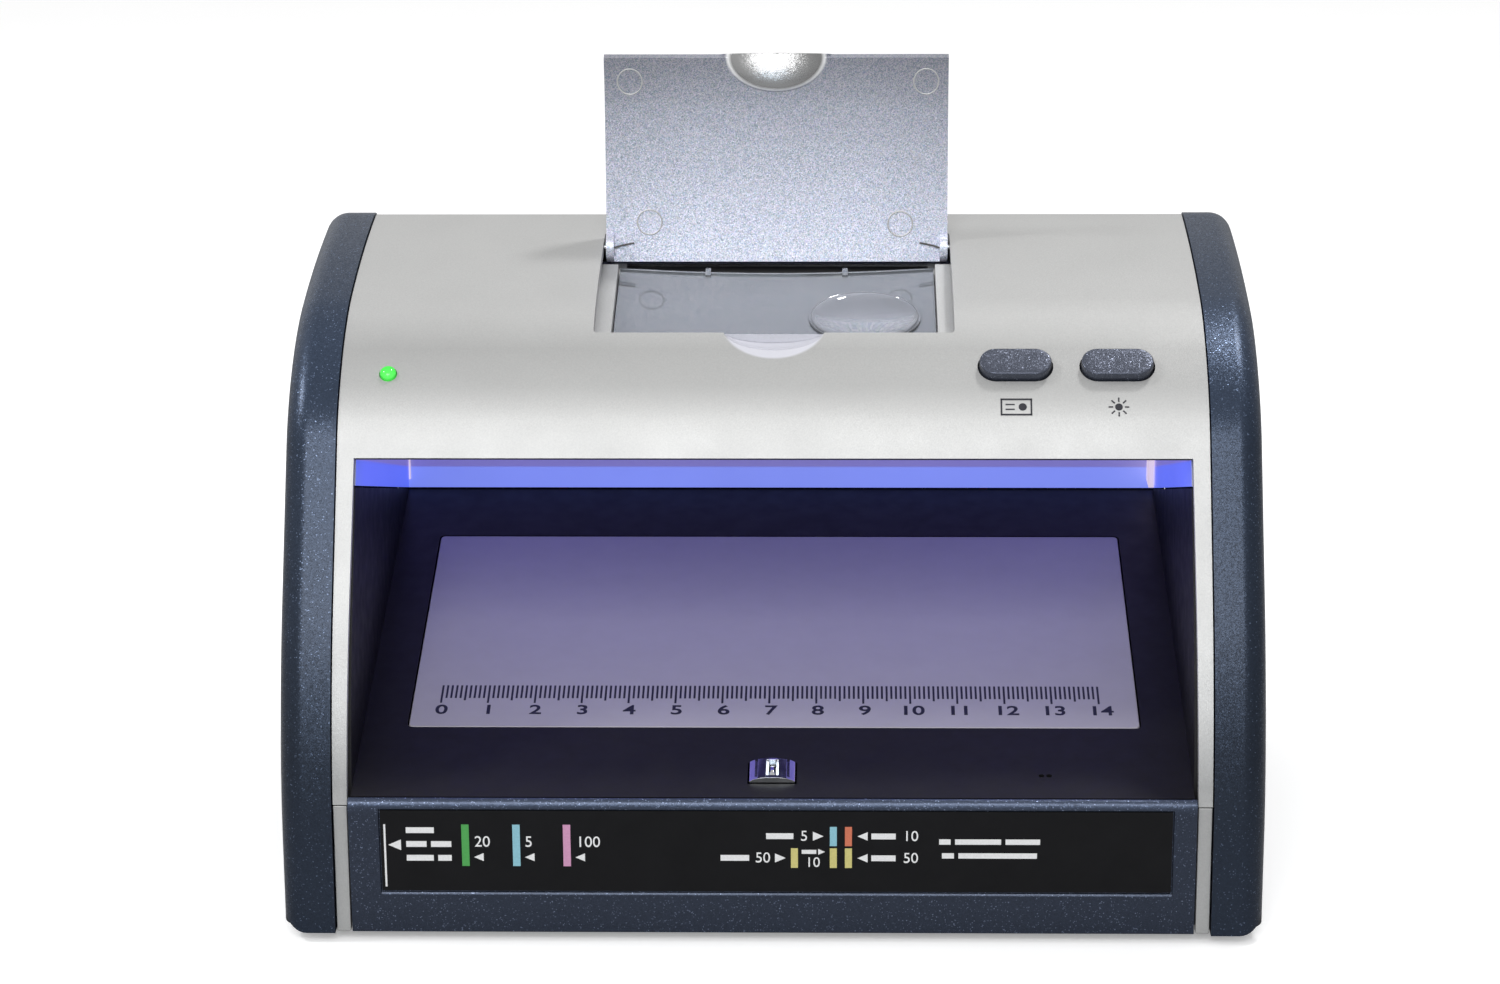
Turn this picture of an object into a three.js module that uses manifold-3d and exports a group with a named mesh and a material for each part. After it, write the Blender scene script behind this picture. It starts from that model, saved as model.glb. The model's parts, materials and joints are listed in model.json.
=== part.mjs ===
// Counter-top counterfeit bill detector: a wedge-shaped viewing chamber under a curved silver
// hood, with a lidded magnifier window on top.  Millimetres, +Z up, +X to the operator's right,
// +Y to the back.  The body frame has Y = 0 at the front edge of the outline and Z = 0 at the
// underside of the housing; the whole model is then centred over its own resting face.
import * as THREE from 'three';
import { mergeVertices } from 'three/addons/utils/BufferGeometryUtils.js';
import Module from 'manifold-3d';

const wasm = await Module();
wasm.setup();

// ---- Driving dimensions ------------------------------------------------------------------
const GAP = 0.3; // assembly gap between neighbouring pieces
const WALL = 2.2; // housing wall thickness
const FOOT_H = 2; // how far the rubber feet lift the housing
const HALF_WIDTH = 101.4; // flat outer side of a side cap
const CAP_WIDTH = 10.85; // how far a side cap reaches beyond the silver cover
const CAP_PROUD = 0.4; // side caps stand this far out of the cover's outline
const CAP_ROUND = 5; // rounding of a side cap's outer edge
const COVER_HALF = HALF_WIDTH - CAP_WIDTH - GAP;
const OPENING_HALF = 87.4; // half width of the chamber's front opening at its foot
const OPENING_TOP_HALF = 86.75; // and under the hood
const CHAMBER_HALF = 86.6; // half width inside the chamber
const BODY_DEPTH = 138; // outline, front to back
const FRONT_LIP = 1; // fascia lip in front of the outline
const SEAM_Z = 28; // seam between the cover's side strips and the lower trim strips
const HOOD_LIP_Z = 94.9; // lower edge of the hood over the opening
const REAR_PANEL_TOP = 57.5;
const FASCIA_TOP = 29.4;
const FASCIA_CORNER = 27.9; // where the fascia's leaning face turns into its rounded lip
const FASCIA_LEAN = 1.6; // how far the face leans forward over its height

const TRAY_SLOPE = THREE.MathUtils.degToRad(13.6); // bill tray rises to the back
const TRAY_LENGTH = 130;
const TRAY_THICKNESS = 2.2;
const TRAY_FRONT = 1.4; // tray begins behind the fascia's rounded lip
const LINER_WALL = 1.5;

const PANEL = { half: 77.1, front: 28.2, back: 108, thickness: 2.5 }; // opal light panel
const HEAD = { at: 10.6, width: 9.4, depth: 7.3, height: 7.8, proud: 1.4 }; // magnetic head
const SENSOR = { x: 56.4, at: 9.95, holeR: 0.6, spacing: 1.55 }; // note sensor's two eyes

const WINDOW = { half: 38, front: 47.3, back: 94.8, sight: 34.7, wall: 1.3, ledge: 3, flange: 2.4 };
const LID = { half: 37.45, thickness: 2, front: 48.2, back: 92.9 };
const HINGE = { y: 90, depth: 1.5, earR: 3.2, earWidth: 1.7, pinR: 0.6 };
const SPRING = { coilR: 1.1, wireR: 0.2, pitch: 0.45, turns: 1.5, leg: 4.4 }; // torsion springs
const SCOOP = { halfX: 10.8, halfY: 7, y: 48.4, depth: 2, tilt: THREE.MathUtils.degToRad(18) };
const PANE = { depth: 5, thickness: 1.5, rear: 40.9, sag: 2.6 }; // below the cover's surface
const LENS = { x: 19.2, y: 63.3, r: 12, dome: 1.6 };

const BUTTON = { xs: [50.45, 71.65], width: 15, height: 6.9, proud: 2, flange: 1 };
const BUTTON_Y = 39.05; // buttons sit on the hood's shoulder here
const STATUS_LED = { x: -80.4, y: -2, r: 1.7 }; // in the shoulder's frame
const LABEL = { left: -80.5, right: 82.1, bottom: 9, top: 27.6, thickness: 0.35, recess: 0.6 };
const LAMP = { y: 42, z: 99.7, tilt: THREE.MathUtils.degToRad(19.4), half: 80, count: 8 };
const BOARD = { x: 20, y: 98, width: 96, depth: 54, z: 9, thickness: 1.6 };
const DC_JACK = { x: 52, z: 16, half: 5.5 };
const POWER_SWITCH = { x: -58, z: 24, halfWidth: 10.5, halfHeight: 7 };

const COLOURS = {
  silver: [0xc4c5c6, 0.42, 0.35],
  slate: [0x353f4c, 0.5, 0.25],
  black: [0x1b1d20, 0.6, 0],
  trayBlack: [0x16171c, 0.55, 0],
  white: [0xe4e6ec, 0.5, 0],
  opal: [0xd9d7e6, 0.35, 0],
  clear: [0xb8bcc4, 0.1, 0],
  violet: [0x2a2270, 0.15, 0],
  chrome: [0xc9ccd0, 0.2, 1],
  steel: [0x9a9da2, 0.4, 1],
  brass: [0xb08d4a, 0.4, 1],
  board: [0x1f5a3a, 0.6, 0],
  green: [0x3ad24b, 0.3, 0],
  rubber: [0x151515, 0.9, 0],
  wire: [0x8a1f22, 0.6, 0],
};

// ---- Geometry helpers --------------------------------------------------------------------
const V2 = (y, z) => new THREE.Vector2(y, z);
const V3 = (x, y, z) => new THREE.Vector3(x, y, z);

function toSolid(geometry) {
  const bare = geometry.clone();
  bare.deleteAttribute('normal');
  bare.deleteAttribute('uv');
  const merged = mergeVertices(bare, 1e-5);
  return new wasm.Manifold(new wasm.Mesh({
    numProp: 3,
    vertProperties: new Float32Array(merged.attributes.position.array),
    triVerts: new Uint32Array(merged.index.array),
  }));
}

function toGeometry(solid) {
  const mesh = solid.getMesh();
  const geometry = new THREE.BufferGeometry();
  geometry.setAttribute('position', new THREE.BufferAttribute(mesh.vertProperties, 3));
  geometry.setIndex(new THREE.BufferAttribute(mesh.triVerts, 1));
  geometry.computeVertexNormals();
  return geometry;
}

const join = (...geometries) => toGeometry(geometries.map(toSolid).reduce((a, b) => a.add(b)));
const cut = (geometry, ...tools) => toGeometry(
  tools.map(toSolid).reduce((a, b) => a.subtract(b), toSolid(geometry)),
);
const keep = (a, b) => toGeometry(toSolid(a).intersect(toSolid(b)));

function box(x0, x1, y0, y1, z0, z1) {
  const geometry = new THREE.BoxGeometry(x1 - x0, y1 - y0, z1 - z0);
  return geometry.translate((x0 + x1) / 2, (y0 + y1) / 2, (z0 + z1) / 2);
}

// The X range between two distances from the middle, on the left (-1) or the right (1).
const SIDES = [-1, 1];
const span = (side, near, far) => (side > 0 ? [near, far] : [-far, -near]);

// A cylinder along +Z from z0 to z1.
function post(x, y, radius, z0, z1, sides = 16, topRadius = radius) {
  const geometry = new THREE.CylinderGeometry(topRadius, radius, z1 - z0, sides);
  return geometry.rotateX(Math.PI / 2).translate(x, y, (z0 + z1) / 2);
}

// A cylinder along X from x0 to x1.
function rod(x0, x1, y, z, radius, sides = 16) {
  const geometry = new THREE.CylinderGeometry(radius, radius, x1 - x0, sides);
  return geometry.rotateZ(Math.PI / 2).translate((x0 + x1) / 2, y, z);
}

// A cylinder along Y from y0 to y1.
function barrel(x, z, radius, y0, y1, sides = 16) {
  return new THREE.CylinderGeometry(radius, radius, y1 - y0, sides).translate(x, (y0 + y1) / 2, z);
}

// A side outline in (Y, Z), swept along X from x0 to x1.
function sweepX(points, x0, x1, bevel = {}) {
  const geometry = new THREE.ExtrudeGeometry(new THREE.Shape(points), {
    depth: x1 - x0, bevelEnabled: false, ...bevel,
  });
  const turn = new THREE.Matrix4().makeBasis(V3(0, 1, 0), V3(0, 0, 1), V3(1, 0, 0));
  return geometry.applyMatrix4(turn).translate(x0, 0, 0);
}

// A pill outline in (X, Y), and the same raised along Z.
function pillShape(width, height) {
  const r = height / 2;
  const shape = new THREE.Shape();
  shape.absarc(width / 2 - r, 0, r, -Math.PI / 2, Math.PI / 2, false);
  shape.absarc(r - width / 2, 0, r, Math.PI / 2, (3 * Math.PI) / 2, false);
  return shape;
}

function pill(width, height, z0, z1) {
  const options = { depth: z1 - z0, bevelEnabled: false, curveSegments: 8 };
  return new THREE.ExtrudeGeometry(pillShape(width, height), options).translate(0, 0, z0);
}

// A rounded rectangle in (X, Y), raised along Z.
function roundedPlate(x0, x1, y0, y1, radius, z0, z1) {
  const shape = new THREE.Shape();
  shape.absarc(x1 - radius, y0 + radius, radius, -Math.PI / 2, 0, false);
  shape.absarc(x1 - radius, y1 - radius, radius, 0, Math.PI / 2, false);
  shape.absarc(x0 + radius, y1 - radius, radius, Math.PI / 2, Math.PI, false);
  shape.absarc(x0 + radius, y0 + radius, radius, Math.PI, (3 * Math.PI) / 2, false);
  const options = { depth: z1 - z0, bevelEnabled: false, curveSegments: 3 };
  return new THREE.ExtrudeGeometry(shape, options).translate(0, 0, z0);
}

function ellipsoid(x, y, z, rx, ry, rz) {
  return new THREE.SphereGeometry(1, 20, 12).scale(rx, ry, rz).translate(x, y, z);
}

// A round wire through the given points.
function wire(points, radius, steps = 14, sides = 6) {
  const section = new THREE.Shape();
  section.absarc(0, 0, radius, 0, Math.PI * 2, false);
  return new THREE.ExtrudeGeometry(section, {
    steps, curveSegments: sides / 2, extrudePath: new THREE.CatmullRomCurve3(points),
  });
}

// Moves every point of an open line sideways: to the line's left for a positive distance.
function offset(points, distance) {
  return points.map((point, i) => {
    const before = points[Math.max(i - 1, 0)];
    const after = points[Math.min(i + 1, points.length - 1)];
    const along = after.clone().sub(before).normalize();
    return V2(point.x - along.y * distance, point.y + along.x * distance);
  });
}

// ---- The housing's outline, from the front toe over the ridge to the rear toe -------------
function outlinePoints() {
  const path = new THREE.Path();
  path.moveTo(0, 0);
  path.lineTo(0, 20);
  path.bezierCurveTo(0, 36, 5.8, 54.5, 12.2, 67.5);
  path.lineTo(27.5, 98);
  path.bezierCurveTo(32.6, 108.3, 45.8, 117.4, 58.3, 120.9);
  path.quadraticCurveTo(80, 126.4, 107, 128.7);
  path.quadraticCurveTo(110.5, 129, 113.2, 127.2);
  path.bezierCurveTo(124, 120, BODY_DEPTH - 0.5, 108, BODY_DEPTH, 84);
  path.lineTo(BODY_DEPTH, 0);
  return path.getPoints(9);
}
const OUTLINE = outlinePoints();
const INNER = offset(OUTLINE, -WALL);

// Height of the outline's upper side at a depth, and its slope there.
function surface(y) {
  const i = OUTLINE.findIndex((p, k) => k > 0 && p.x >= y && OUTLINE[k - 1].x < y);
  const [a, b] = [OUTLINE[i - 1], OUTLINE[i]];
  const slope = (b.y - a.y) / (b.x - a.x);
  return { z: a.y + slope * (y - a.x), angle: Math.atan(slope) };
}

// The stretch of a line of points between two depths on its upper side.
const between = (points, y0, y1) => points.filter((p) => p.y > 100 && p.x > y0 && p.x < y1);

// ---- Frames: nested groups that pieces are placed in --------------------------------------
const root = new THREE.Group();
const body = new THREE.Group();
body.position.set(0, -(BODY_DEPTH + CAP_PROUD - FRONT_LIP) / 2, FOOT_H);
root.add(body);

function frame(parent, y, z, angle) {
  const group = new THREE.Group();
  group.position.set(0, y, z);
  group.rotation.x = angle;
  parent.add(group);
  return group;
}

const tray = frame(body, -FRONT_LIP, FASCIA_TOP, TRAY_SLOPE);
const shoulderAt = surface(BUTTON_Y);
const shoulder = frame(body, BUTTON_Y, shoulderAt.z, shoulderAt.angle);
const lamp = frame(body, LAMP.y, LAMP.z, LAMP.tilt);
const windowFront = surface(WINDOW.front);
const windowBack = surface(WINDOW.back);
const TOP_SLOPE = Math.atan(
  (windowBack.z - windowFront.z) / (WINDOW.back - WINDOW.front),
);
const topFrame = frame(body, WINDOW.front, windowFront.z, TOP_SLOPE);
const TOP_LENGTH = (WINDOW.back - WINDOW.front) / Math.cos(TOP_SLOPE);
const hingeZ = surface(HINGE.y).z - HINGE.depth;
const LID_OPEN = Math.PI / 2 + TOP_SLOPE;
const lidGroup = frame(body, HINGE.y, hingeZ, -LID_OPEN);

function add(group, name, geometry, colour, extra = {}) {
  const [color, roughness, metalness] = COLOURS[colour];
  const material = new THREE.MeshStandardMaterial({ color, roughness, metalness, ...extra });
  const mesh = new THREE.Mesh(geometry, material);
  mesh.name = name;
  group.add(mesh);
}

// Converts a point of the body frame to (Y, Z) of a turned frame.
function local(group, y, z) {
  const point = V2(y - group.position.y, z - group.position.z);
  return point.rotateAround(V2(0, 0), -group.rotation.x);
}

// ---- Silver housing ----------------------------------------------------------------------
function topCover() {
  const band = sweepX([...OUTLINE, ...INNER.slice().reverse()], -COVER_HALF, COVER_HALF);
  const opening = new THREE.Shape([
    V2(-OPENING_HALF, SEAM_Z - 5), V2(OPENING_HALF, SEAM_Z - 5),
    V2(OPENING_TOP_HALF, HOOD_LIP_Z), V2(-OPENING_TOP_HALF, HOOD_LIP_Z),
  ]);
  const tools = [
    new THREE.ExtrudeGeometry(opening, { depth: 60, bevelEnabled: false })
      .rotateX(Math.PI / 2).translate(0, 55, 0),
    box(-COVER_HALF - 5, COVER_HALF + 5, -5, 60, -5, SEAM_Z),
    box(-COVER_HALF - 5, COVER_HALF + 5, 90, BODY_DEPTH + 5, -5, REAR_PANEL_TOP + GAP),
    box(-WINDOW.half, WINDOW.half, WINDOW.front, WINDOW.back, 100, 140),
    scoop(),
  ];
  for (const x of BUTTON.xs) {
    tools.push(inBody(shoulder, pill(BUTTON.width + 0.8, BUTTON.height + 0.8, -8, 8)
      .translate(x, 0, 0)));
  }
  const { x: ledX, y: ledY, r: ledR } = STATUS_LED;
  tools.push(inBody(shoulder, post(ledX, ledY, ledR + 0.2, -8, 8)));
  // Bosses beside the window carry the lid's hinge pins.
  const bosses = SIDES.map((side) => box(
    ...span(side, WINDOW.half, WINDOW.half + 4),
    HINGE.y - 3.5, HINGE.y + 3.5, hingeZ - 3.5, hingeZ,
  ));
  const bores = SIDES.map((side) => rod(
    ...span(side, WINDOW.half - 8, WINDOW.half + 3.2), HINGE.y, hingeZ, HINGE.pinR + 0.25,
  ));
  return cut(join(cut(band, ...tools), ...bosses), ...bores);
}

// Geometry written in a turned frame, moved into the body frame.
function inBody(group, geometry) {
  group.updateMatrix();
  return geometry.applyMatrix4(group.matrix);
}

// The finger scoop's ellipsoid in the body frame; the lid's own boss around it is the grown one.
function scoop(growX = 0, growY = 0, growZ = 0) {
  return ellipsoid(0, 0, 0, SCOOP.halfX + growX, SCOOP.halfY + growY, SCOOP.depth + growZ)
    .rotateX(SCOOP.tilt).translate(0, SCOOP.y, surface(SCOOP.y).z);
}

function sideCap(side) {
  const outline = offset(OUTLINE, CAP_PROUD);
  outline[0].y = 0;
  outline[outline.length - 1].y = 0;
  const inner = offset(OUTLINE, -WALL);
  inner[0].y = WALL;
  inner[inner.length - 1].y = WALL;
  const solid = sweepX(outline, 0, HALF_WIDTH - CAP_ROUND, {
    bevelEnabled: true, bevelThickness: CAP_ROUND, bevelSize: CAP_ROUND,
    bevelOffset: -CAP_ROUND, bevelSegments: 4,
  });
  const inside = COVER_HALF + GAP;
  const cap = cut(
    solid,
    box(-20, inside, -20, BODY_DEPTH + 20, -20, 160),
    sweepX(inner, inside - 5, HALF_WIDTH - WALL - 0.4),
  );
  return side > 0 ? cap : mirrored(cap);
}

// The mirror image across X = 0, with its faces turned out again.
function mirrored(geometry) {
  const image = geometry.clone().scale(-1, 1, 1);
  const index = image.index.array;
  for (let i = 0; i < index.length; i += 3) {
    [index[i], index[i + 1]] = [index[i + 1], index[i]];
  }
  image.computeVertexNormals();
  return image;
}

function trimStrip(side) {
  const setBack = 0.6;
  const depth = 2.4;
  return box(
    ...span(side, OPENING_HALF, COVER_HALF), setBack, setBack + depth, 0.1, SEAM_Z - GAP,
  );
}

// ---- Slate-blue front and base -----------------------------------------------------------
function frontFascia() {
  const half = OPENING_HALF - GAP;
  const back = TRAY_FRONT * Math.cos(TRAY_SLOPE) - FRONT_LIP;
  const backZ = FASCIA_TOP + TRAY_FRONT * Math.sin(TRAY_SLOPE);
  const inside = fasciaFace(0) + WALL;
  const path = new THREE.Path();
  path.moveTo(fasciaFace(0), 0);
  path.lineTo(-FRONT_LIP, FASCIA_CORNER);
  path.quadraticCurveTo(-FRONT_LIP, FASCIA_TOP, back, backZ);
  path.lineTo(back, backZ - WALL);
  path.lineTo(inside, FASCIA_TOP - 3);
  path.lineTo(inside, 0);
  const blank = sweepX(path.getPoints(5), -half, half);
  const recess = sweepX([
    V2(-5, LABEL.bottom), V2(fasciaFace(LABEL.bottom) + LABEL.recess, LABEL.bottom),
    V2(fasciaFace(LABEL.top) + LABEL.recess, LABEL.top), V2(-5, LABEL.top),
  ], LABEL.left - GAP, LABEL.right + GAP);
  return cut(blank, recess);
}

// The fascia's front face leans slightly: its depth at a height.
function fasciaFace(z) {
  return FASCIA_LEAN * (1 - z / FASCIA_CORNER) - FRONT_LIP;
}

function fasciaLabel() {
  const back = LABEL.recess - 0.1;
  const front = back - LABEL.thickness;
  const [z0, z1] = [LABEL.bottom + GAP, LABEL.top - GAP];
  return sweepX([
    V2(fasciaFace(z0) + front, z0), V2(fasciaFace(z0) + back, z0),
    V2(fasciaFace(z1) + back, z1), V2(fasciaFace(z1) + front, z1),
  ], LABEL.left, LABEL.right);
}

// Where screws go up through the base into the tray's posts, and down through the main board.
const CORNERS = [[-80, 24], [80, 24], [-80, 114], [80, 114]];
const BOARD_CORNERS = SIDES.flatMap((i) => SIDES.map((j) => [
  BOARD.x + i * (BOARD.width / 2 - 4), BOARD.y + j * (BOARD.depth / 2 - 4),
]));

function basePan() {
  const half = COVER_HALF - GAP;
  const front = 5;
  const back = BODY_DEPTH - WALL - 0.6 - GAP;
  const floor = box(-half, half, front, back, 0.3, WALL + 0.3);
  const flangeFront = box(-half, half, front, front + 1.8, 1, 12);
  const flanges = SIDES.map((side) => box(...span(side, half - 1.8, half), front, back, 1, 12));
  const standoffs = BOARD_CORNERS.map(([x, y]) => post(x, y, 3, 1, BOARD.z - GAP, 10));
  const slots = [];
  for (let i = 0; i < 9; i += 1) {
    slots.push(box(-60 + i * 6, -57 + i * 6, 44, 64, -5, 9));
  }
  const screwHoles = CORNERS.map(([x, y]) => post(x, y, 1.9, -5, 9, 10));
  const pilotHoles = BOARD_CORNERS.map(([x, y]) => post(x, y, 1.1, 3.4, 20, 8));
  return cut(
    join(floor, flangeFront, ...flanges, ...standoffs), ...slots, ...screwHoles, ...pilotHoles,
  );
}

function rearPanel() {
  const half = COVER_HALF;
  const y1 = BODY_DEPTH;
  const y0 = y1 - WALL;
  const plate = box(-half, half, y0, y1, 0.3, REAR_PANEL_TOP);
  const vents = [];
  for (let i = 0; i < 12; i += 1) {
    vents.push(box(-33 + i * 5.5, -30.6 + i * 5.5, y0 - 5, y1 + 5, 30, 46));
  }
  const { x, z, halfWidth, halfHeight } = POWER_SWITCH;
  return cut(
    plate,
    ...vents,
    barrel(DC_JACK.x, DC_JACK.z, 4.6, y0 - 5, y1 + 5, 20),
    box(x - halfWidth, x + halfWidth, y0 - 5, y1 + 5, z - halfHeight, z + halfHeight),
  );
}

// ---- Chamber -----------------------------------------------------------------------------
const TRAY_BACK = {
  y: TRAY_LENGTH * Math.cos(TRAY_SLOPE) - FRONT_LIP,
  z: TRAY_LENGTH * Math.sin(TRAY_SLOPE) + FASCIA_TOP,
};
const WALL_FRONT = { y: 25.9, z: 88.6 }; // front end of the line between tray and liner

function billTray() {
  // The floor, narrower where it reaches out between the cover's front strips.
  const outer = CHAMBER_HALF + LINER_WALL;
  const clear = TRAY_FRONT + GAP + 3;
  const floor = inBody(tray, join(
    box(-outer, outer, clear, TRAY_LENGTH, -TRAY_THICKNESS, 0),
    box(-CHAMBER_HALF, CHAMBER_HALF, TRAY_FRONT + GAP, clear + 1, -TRAY_THICKNESS, 0),
  ));
  // Side walls: from the floor up to the line where the white liner takes over.
  const front = offset(OUTLINE, -WALL - GAP).filter((p) => p.y > 31.5 && p.y < 88 && p.x < 60);
  const start = local(tray, front[0].x, front[0].y).x;
  const toe = V2(start * Math.cos(TRAY_SLOPE), start * Math.sin(TRAY_SLOPE));
  const wall = [
    ...front, V2(WALL_FRONT.y, WALL_FRONT.z), V2(TRAY_BACK.y, TRAY_BACK.z),
    V2(TRAY_BACK.y, TRAY_BACK.z - TRAY_THICKNESS),
    V2(toe.x - FRONT_LIP + 0.5, toe.y + FASCIA_TOP - TRAY_THICKNESS + 0.2),
  ];
  const walls = SIDES.map((side) => sweepX(
    wall, ...span(side, CHAMBER_HALF, CHAMBER_HALF + LINER_WALL),
  ));
  const posts = CORNERS.map(([x, y]) => {
    const z = FASCIA_TOP + (y + FRONT_LIP) * Math.tan(TRAY_SLOPE) - 1;
    return post(x, y, 3.6, WALL + 0.3 + GAP, z, 12);
  });
  const pilots = CORNERS.map(([x, y]) => post(x, y, 1.3, -1, 16, 10));
  const { half, front: t0, back: t1 } = PANEL;
  const openings = [
    box(-half - GAP, half + GAP, t0 - GAP, t1 + GAP, -9, 9),
    box(-HEAD.width / 2 - GAP, HEAD.width / 2 + GAP,
      HEAD.at - HEAD.depth / 2 - GAP, HEAD.at + HEAD.depth / 2 + GAP, -9, 9),
    ...SIDES.map((side) => post(
      SENSOR.x + (side * SENSOR.spacing) / 2, SENSOR.at, SENSOR.holeR, -9, 9, 10,
    )),
  ].map((tool) => inBody(tray, tool));
  return cut(join(floor, ...walls, ...posts), ...openings, ...pilots);
}

function chamberLiner() {
  const outerX = CHAMBER_HALF + LINER_WALL;
  const seam = 0.35;
  const backY = TRAY_BACK.y;
  const corner = V2(backY, TRAY_BACK.z + seam);
  const side = [
    V2(WALL_FRONT.y + 0.3, WALL_FRONT.z + seam), V2(29.6, 95.6), V2(33.4, 101.2),
    V2(58, 108.8), V2(106, 118.6), V2(backY + LINER_WALL, 98),
    V2(backY + LINER_WALL, corner.y), corner,
  ];
  const plates = SIDES.map((s) => sweepX(side, ...span(s, CHAMBER_HALF, outerX)));
  const shell = [
    V2(58, 108.8), V2(106, 118.6), V2(backY + LINER_WALL, 98),
    V2(backY + LINER_WALL, corner.y), corner, V2(backY, 97.4), V2(105.4, 116.9),
    V2(58, 107.2),
  ];
  const skin = sweepX(shell, -outerX, outerX);
  const well = WINDOW.sight + WINDOW.wall + GAP;
  const windowWell = inBody(topFrame, box(-well, well, -10, TOP_LENGTH - 0.5, -30, 5));
  return cut(join(skin, ...plates), windowWell);
}

function lightPanel() {
  const { half, front, back, thickness } = PANEL;
  return roundedPlate(-half, half, front, back, 1, -thickness, 0);
}

function drilledBoard(x0, x1, y0, y1, z0, z1) {
  return cut(
    box(x0, x1, y0, y1, z0, z1),
    ...[[x0 + 3, y0 + 3], [x1 - 3, y0 + 3], [x0 + 3, y1 - 3], [x1 - 3, y1 - 3]]
      .map(([x, y]) => post(x, y, 1.2, z0 - 3, z1 + 3, 8)),
  );
}

// The opal panel's back light: a board with white lamps soldered on it.
function backlightBoard() {
  const top = -10.8;
  const leds = [];
  for (const x of [-60, -36, -12, 12, 36, 60]) {
    for (const t of [48, 68, 88]) {
      leds.push(box(x - 1.8, x + 1.8, t - 1.4, t + 1.4, top - 0.1, top + 1.6));
    }
  }
  return join(drilledBoard(-76, 76, 36, 100, top - 1.6, top), ...leds);
}

function magneticHead() {
  const half = HEAD.width / 2;
  const [front, back] = [HEAD.at - HEAD.depth / 2, HEAD.at + HEAD.depth / 2];
  const arch = new THREE.Path();
  arch.moveTo(-half, HEAD.proud - HEAD.height);
  arch.lineTo(half, HEAD.proud - HEAD.height);
  arch.lineTo(half, 0.4);
  arch.quadraticCurveTo(half * 0.75, HEAD.proud, 0, HEAD.proud);
  arch.quadraticCurveTo(-half * 0.75, HEAD.proud, -half, 0.4);
  const shape = new THREE.Shape(arch.getPoints(5));
  const shell = new THREE.ExtrudeGeometry(shape, { depth: HEAD.depth, bevelEnabled: false })
    .rotateX(Math.PI / 2).translate(0, back, 0);
  return cut(shell, box(-1.3, 1.3, front + 1, back - 0.6, -0.8, 9));
}

function magneticCore() {
  const half = HEAD.depth / 2;
  return box(-0.6, 0.6, HEAD.at - half + 1.4, HEAD.at + half - 1, -0.5, HEAD.proud - 0.1);
}

function headBracket() {
  const z1 = HEAD.proud - HEAD.height - GAP;
  const strap = box(-14, 14, HEAD.at - 3, HEAD.at + 3, z1 - 1, z1);
  const risers = SIDES.map((s) => box(
    ...span(s, 13, 14), HEAD.at - 3, HEAD.at + 3, z1 - 1, -3,
  ));
  const tabs = SIDES.map((s) => box(
    ...span(s, 13, 20), HEAD.at - 3, HEAD.at + 3, -3.6, -2.6,
  ));
  return cut(
    join(strap, ...risers, ...tabs),
    ...[-17, 17].map((x) => post(x, HEAD.at, 1.1, -9, 0, 10)),
  );
}

// A pan-head screw standing head down, its seat at z.
function screw(x, y, seat, headR, shankR, length) {
  const shank = post(x, y, shankR, seat - 0.2, seat + length, 8, shankR * 0.8);
  return join(post(x, y, headR, seat - 1.4, seat, 10), shank);
}

function noteSensor() {
  const z1 = -TRAY_THICKNESS - GAP;
  const block = box(SENSOR.x - 4, SENSOR.x + 4, SENSOR.at - 2.5, SENSOR.at + 2.5, z1 - 4, z1);
  const eyes = SIDES.map((s) => post(
    SENSOR.x + (s * SENSOR.spacing) / 2, SENSOR.at, SENSOR.holeR - 0.3, z1 - 1, -0.5, 8,
  ));
  return join(block, ...eyes);
}

// ---- Ultraviolet lamp under the hood -----------------------------------------------------
function lampBracket() {
  const { half } = LAMP;
  const roof = box(-half - 3, half + 3, -7, 7, 0, 1.2);
  const cheeks = SIDES.map((s) => box(...span(s, half + 1.8, half + 3), -6, 6, -6, 0.6));
  return join(roof, ...cheeks);
}

// A strip of ultraviolet lamps on their board, pointing down.
function lampBoard() {
  const pitch = (2 * LAMP.half - 20) / (LAMP.count - 1);
  const leds = [];
  for (let i = 0; i < LAMP.count; i += 1) {
    leds.push(post(10 - LAMP.half + i * pitch, 0, 1.5, -4.2, -1.8, 10, 1.9));
  }
  return join(drilledBoard(-LAMP.half, LAMP.half, -5.5, 5.5, -1.9, -GAP), ...leds);
}

const lampFilter = () => box(-LAMP.half - 1, LAMP.half + 1, -5.5, 5.5, -5.8, -4.6);

// ---- Magnifier window and lid ------------------------------------------------------------
function windowFrame() {
  const { half, sight, wall, ledge, flange } = WINDOW;
  const floor = -8.6;
  const seat = -PANE.depth - PANE.thickness - GAP;
  const top = -ledge;
  const [y0, y1] = [-1.8, TOP_LENGTH - 0.4];
  const ledges = SIDES.map((s) => box(...span(s, sight, half + flange), 0.3, y1, top - 1.2, top));
  const walls = SIDES.map((s) => box(...span(s, sight, sight + wall), y0, y1, floor, top));
  const front = box(-sight - wall, sight + wall, y0, -0.1, floor, top - 0.1);
  const back = box(-sight - wall, sight + wall, y1 - wall, y1, floor, floor + 1.3);
  const rests = SIDES.map((s) => box(...span(s, sight - 1.4, sight + 0.5), y0, y1, floor, seat));
  const pocketY = local(topFrame, HINGE.y, hingeZ).x - 4.4;
  const pocket = box(-50, 50, pocketY, TOP_LENGTH + 5, -7.2, 5);
  const shelf = box(-half - flange, half + flange, pocketY, y1, floor, floor + 1.2);
  return cut(join(...ledges, ...walls, front, back, shelf, ...rests), pocket);
}

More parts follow.
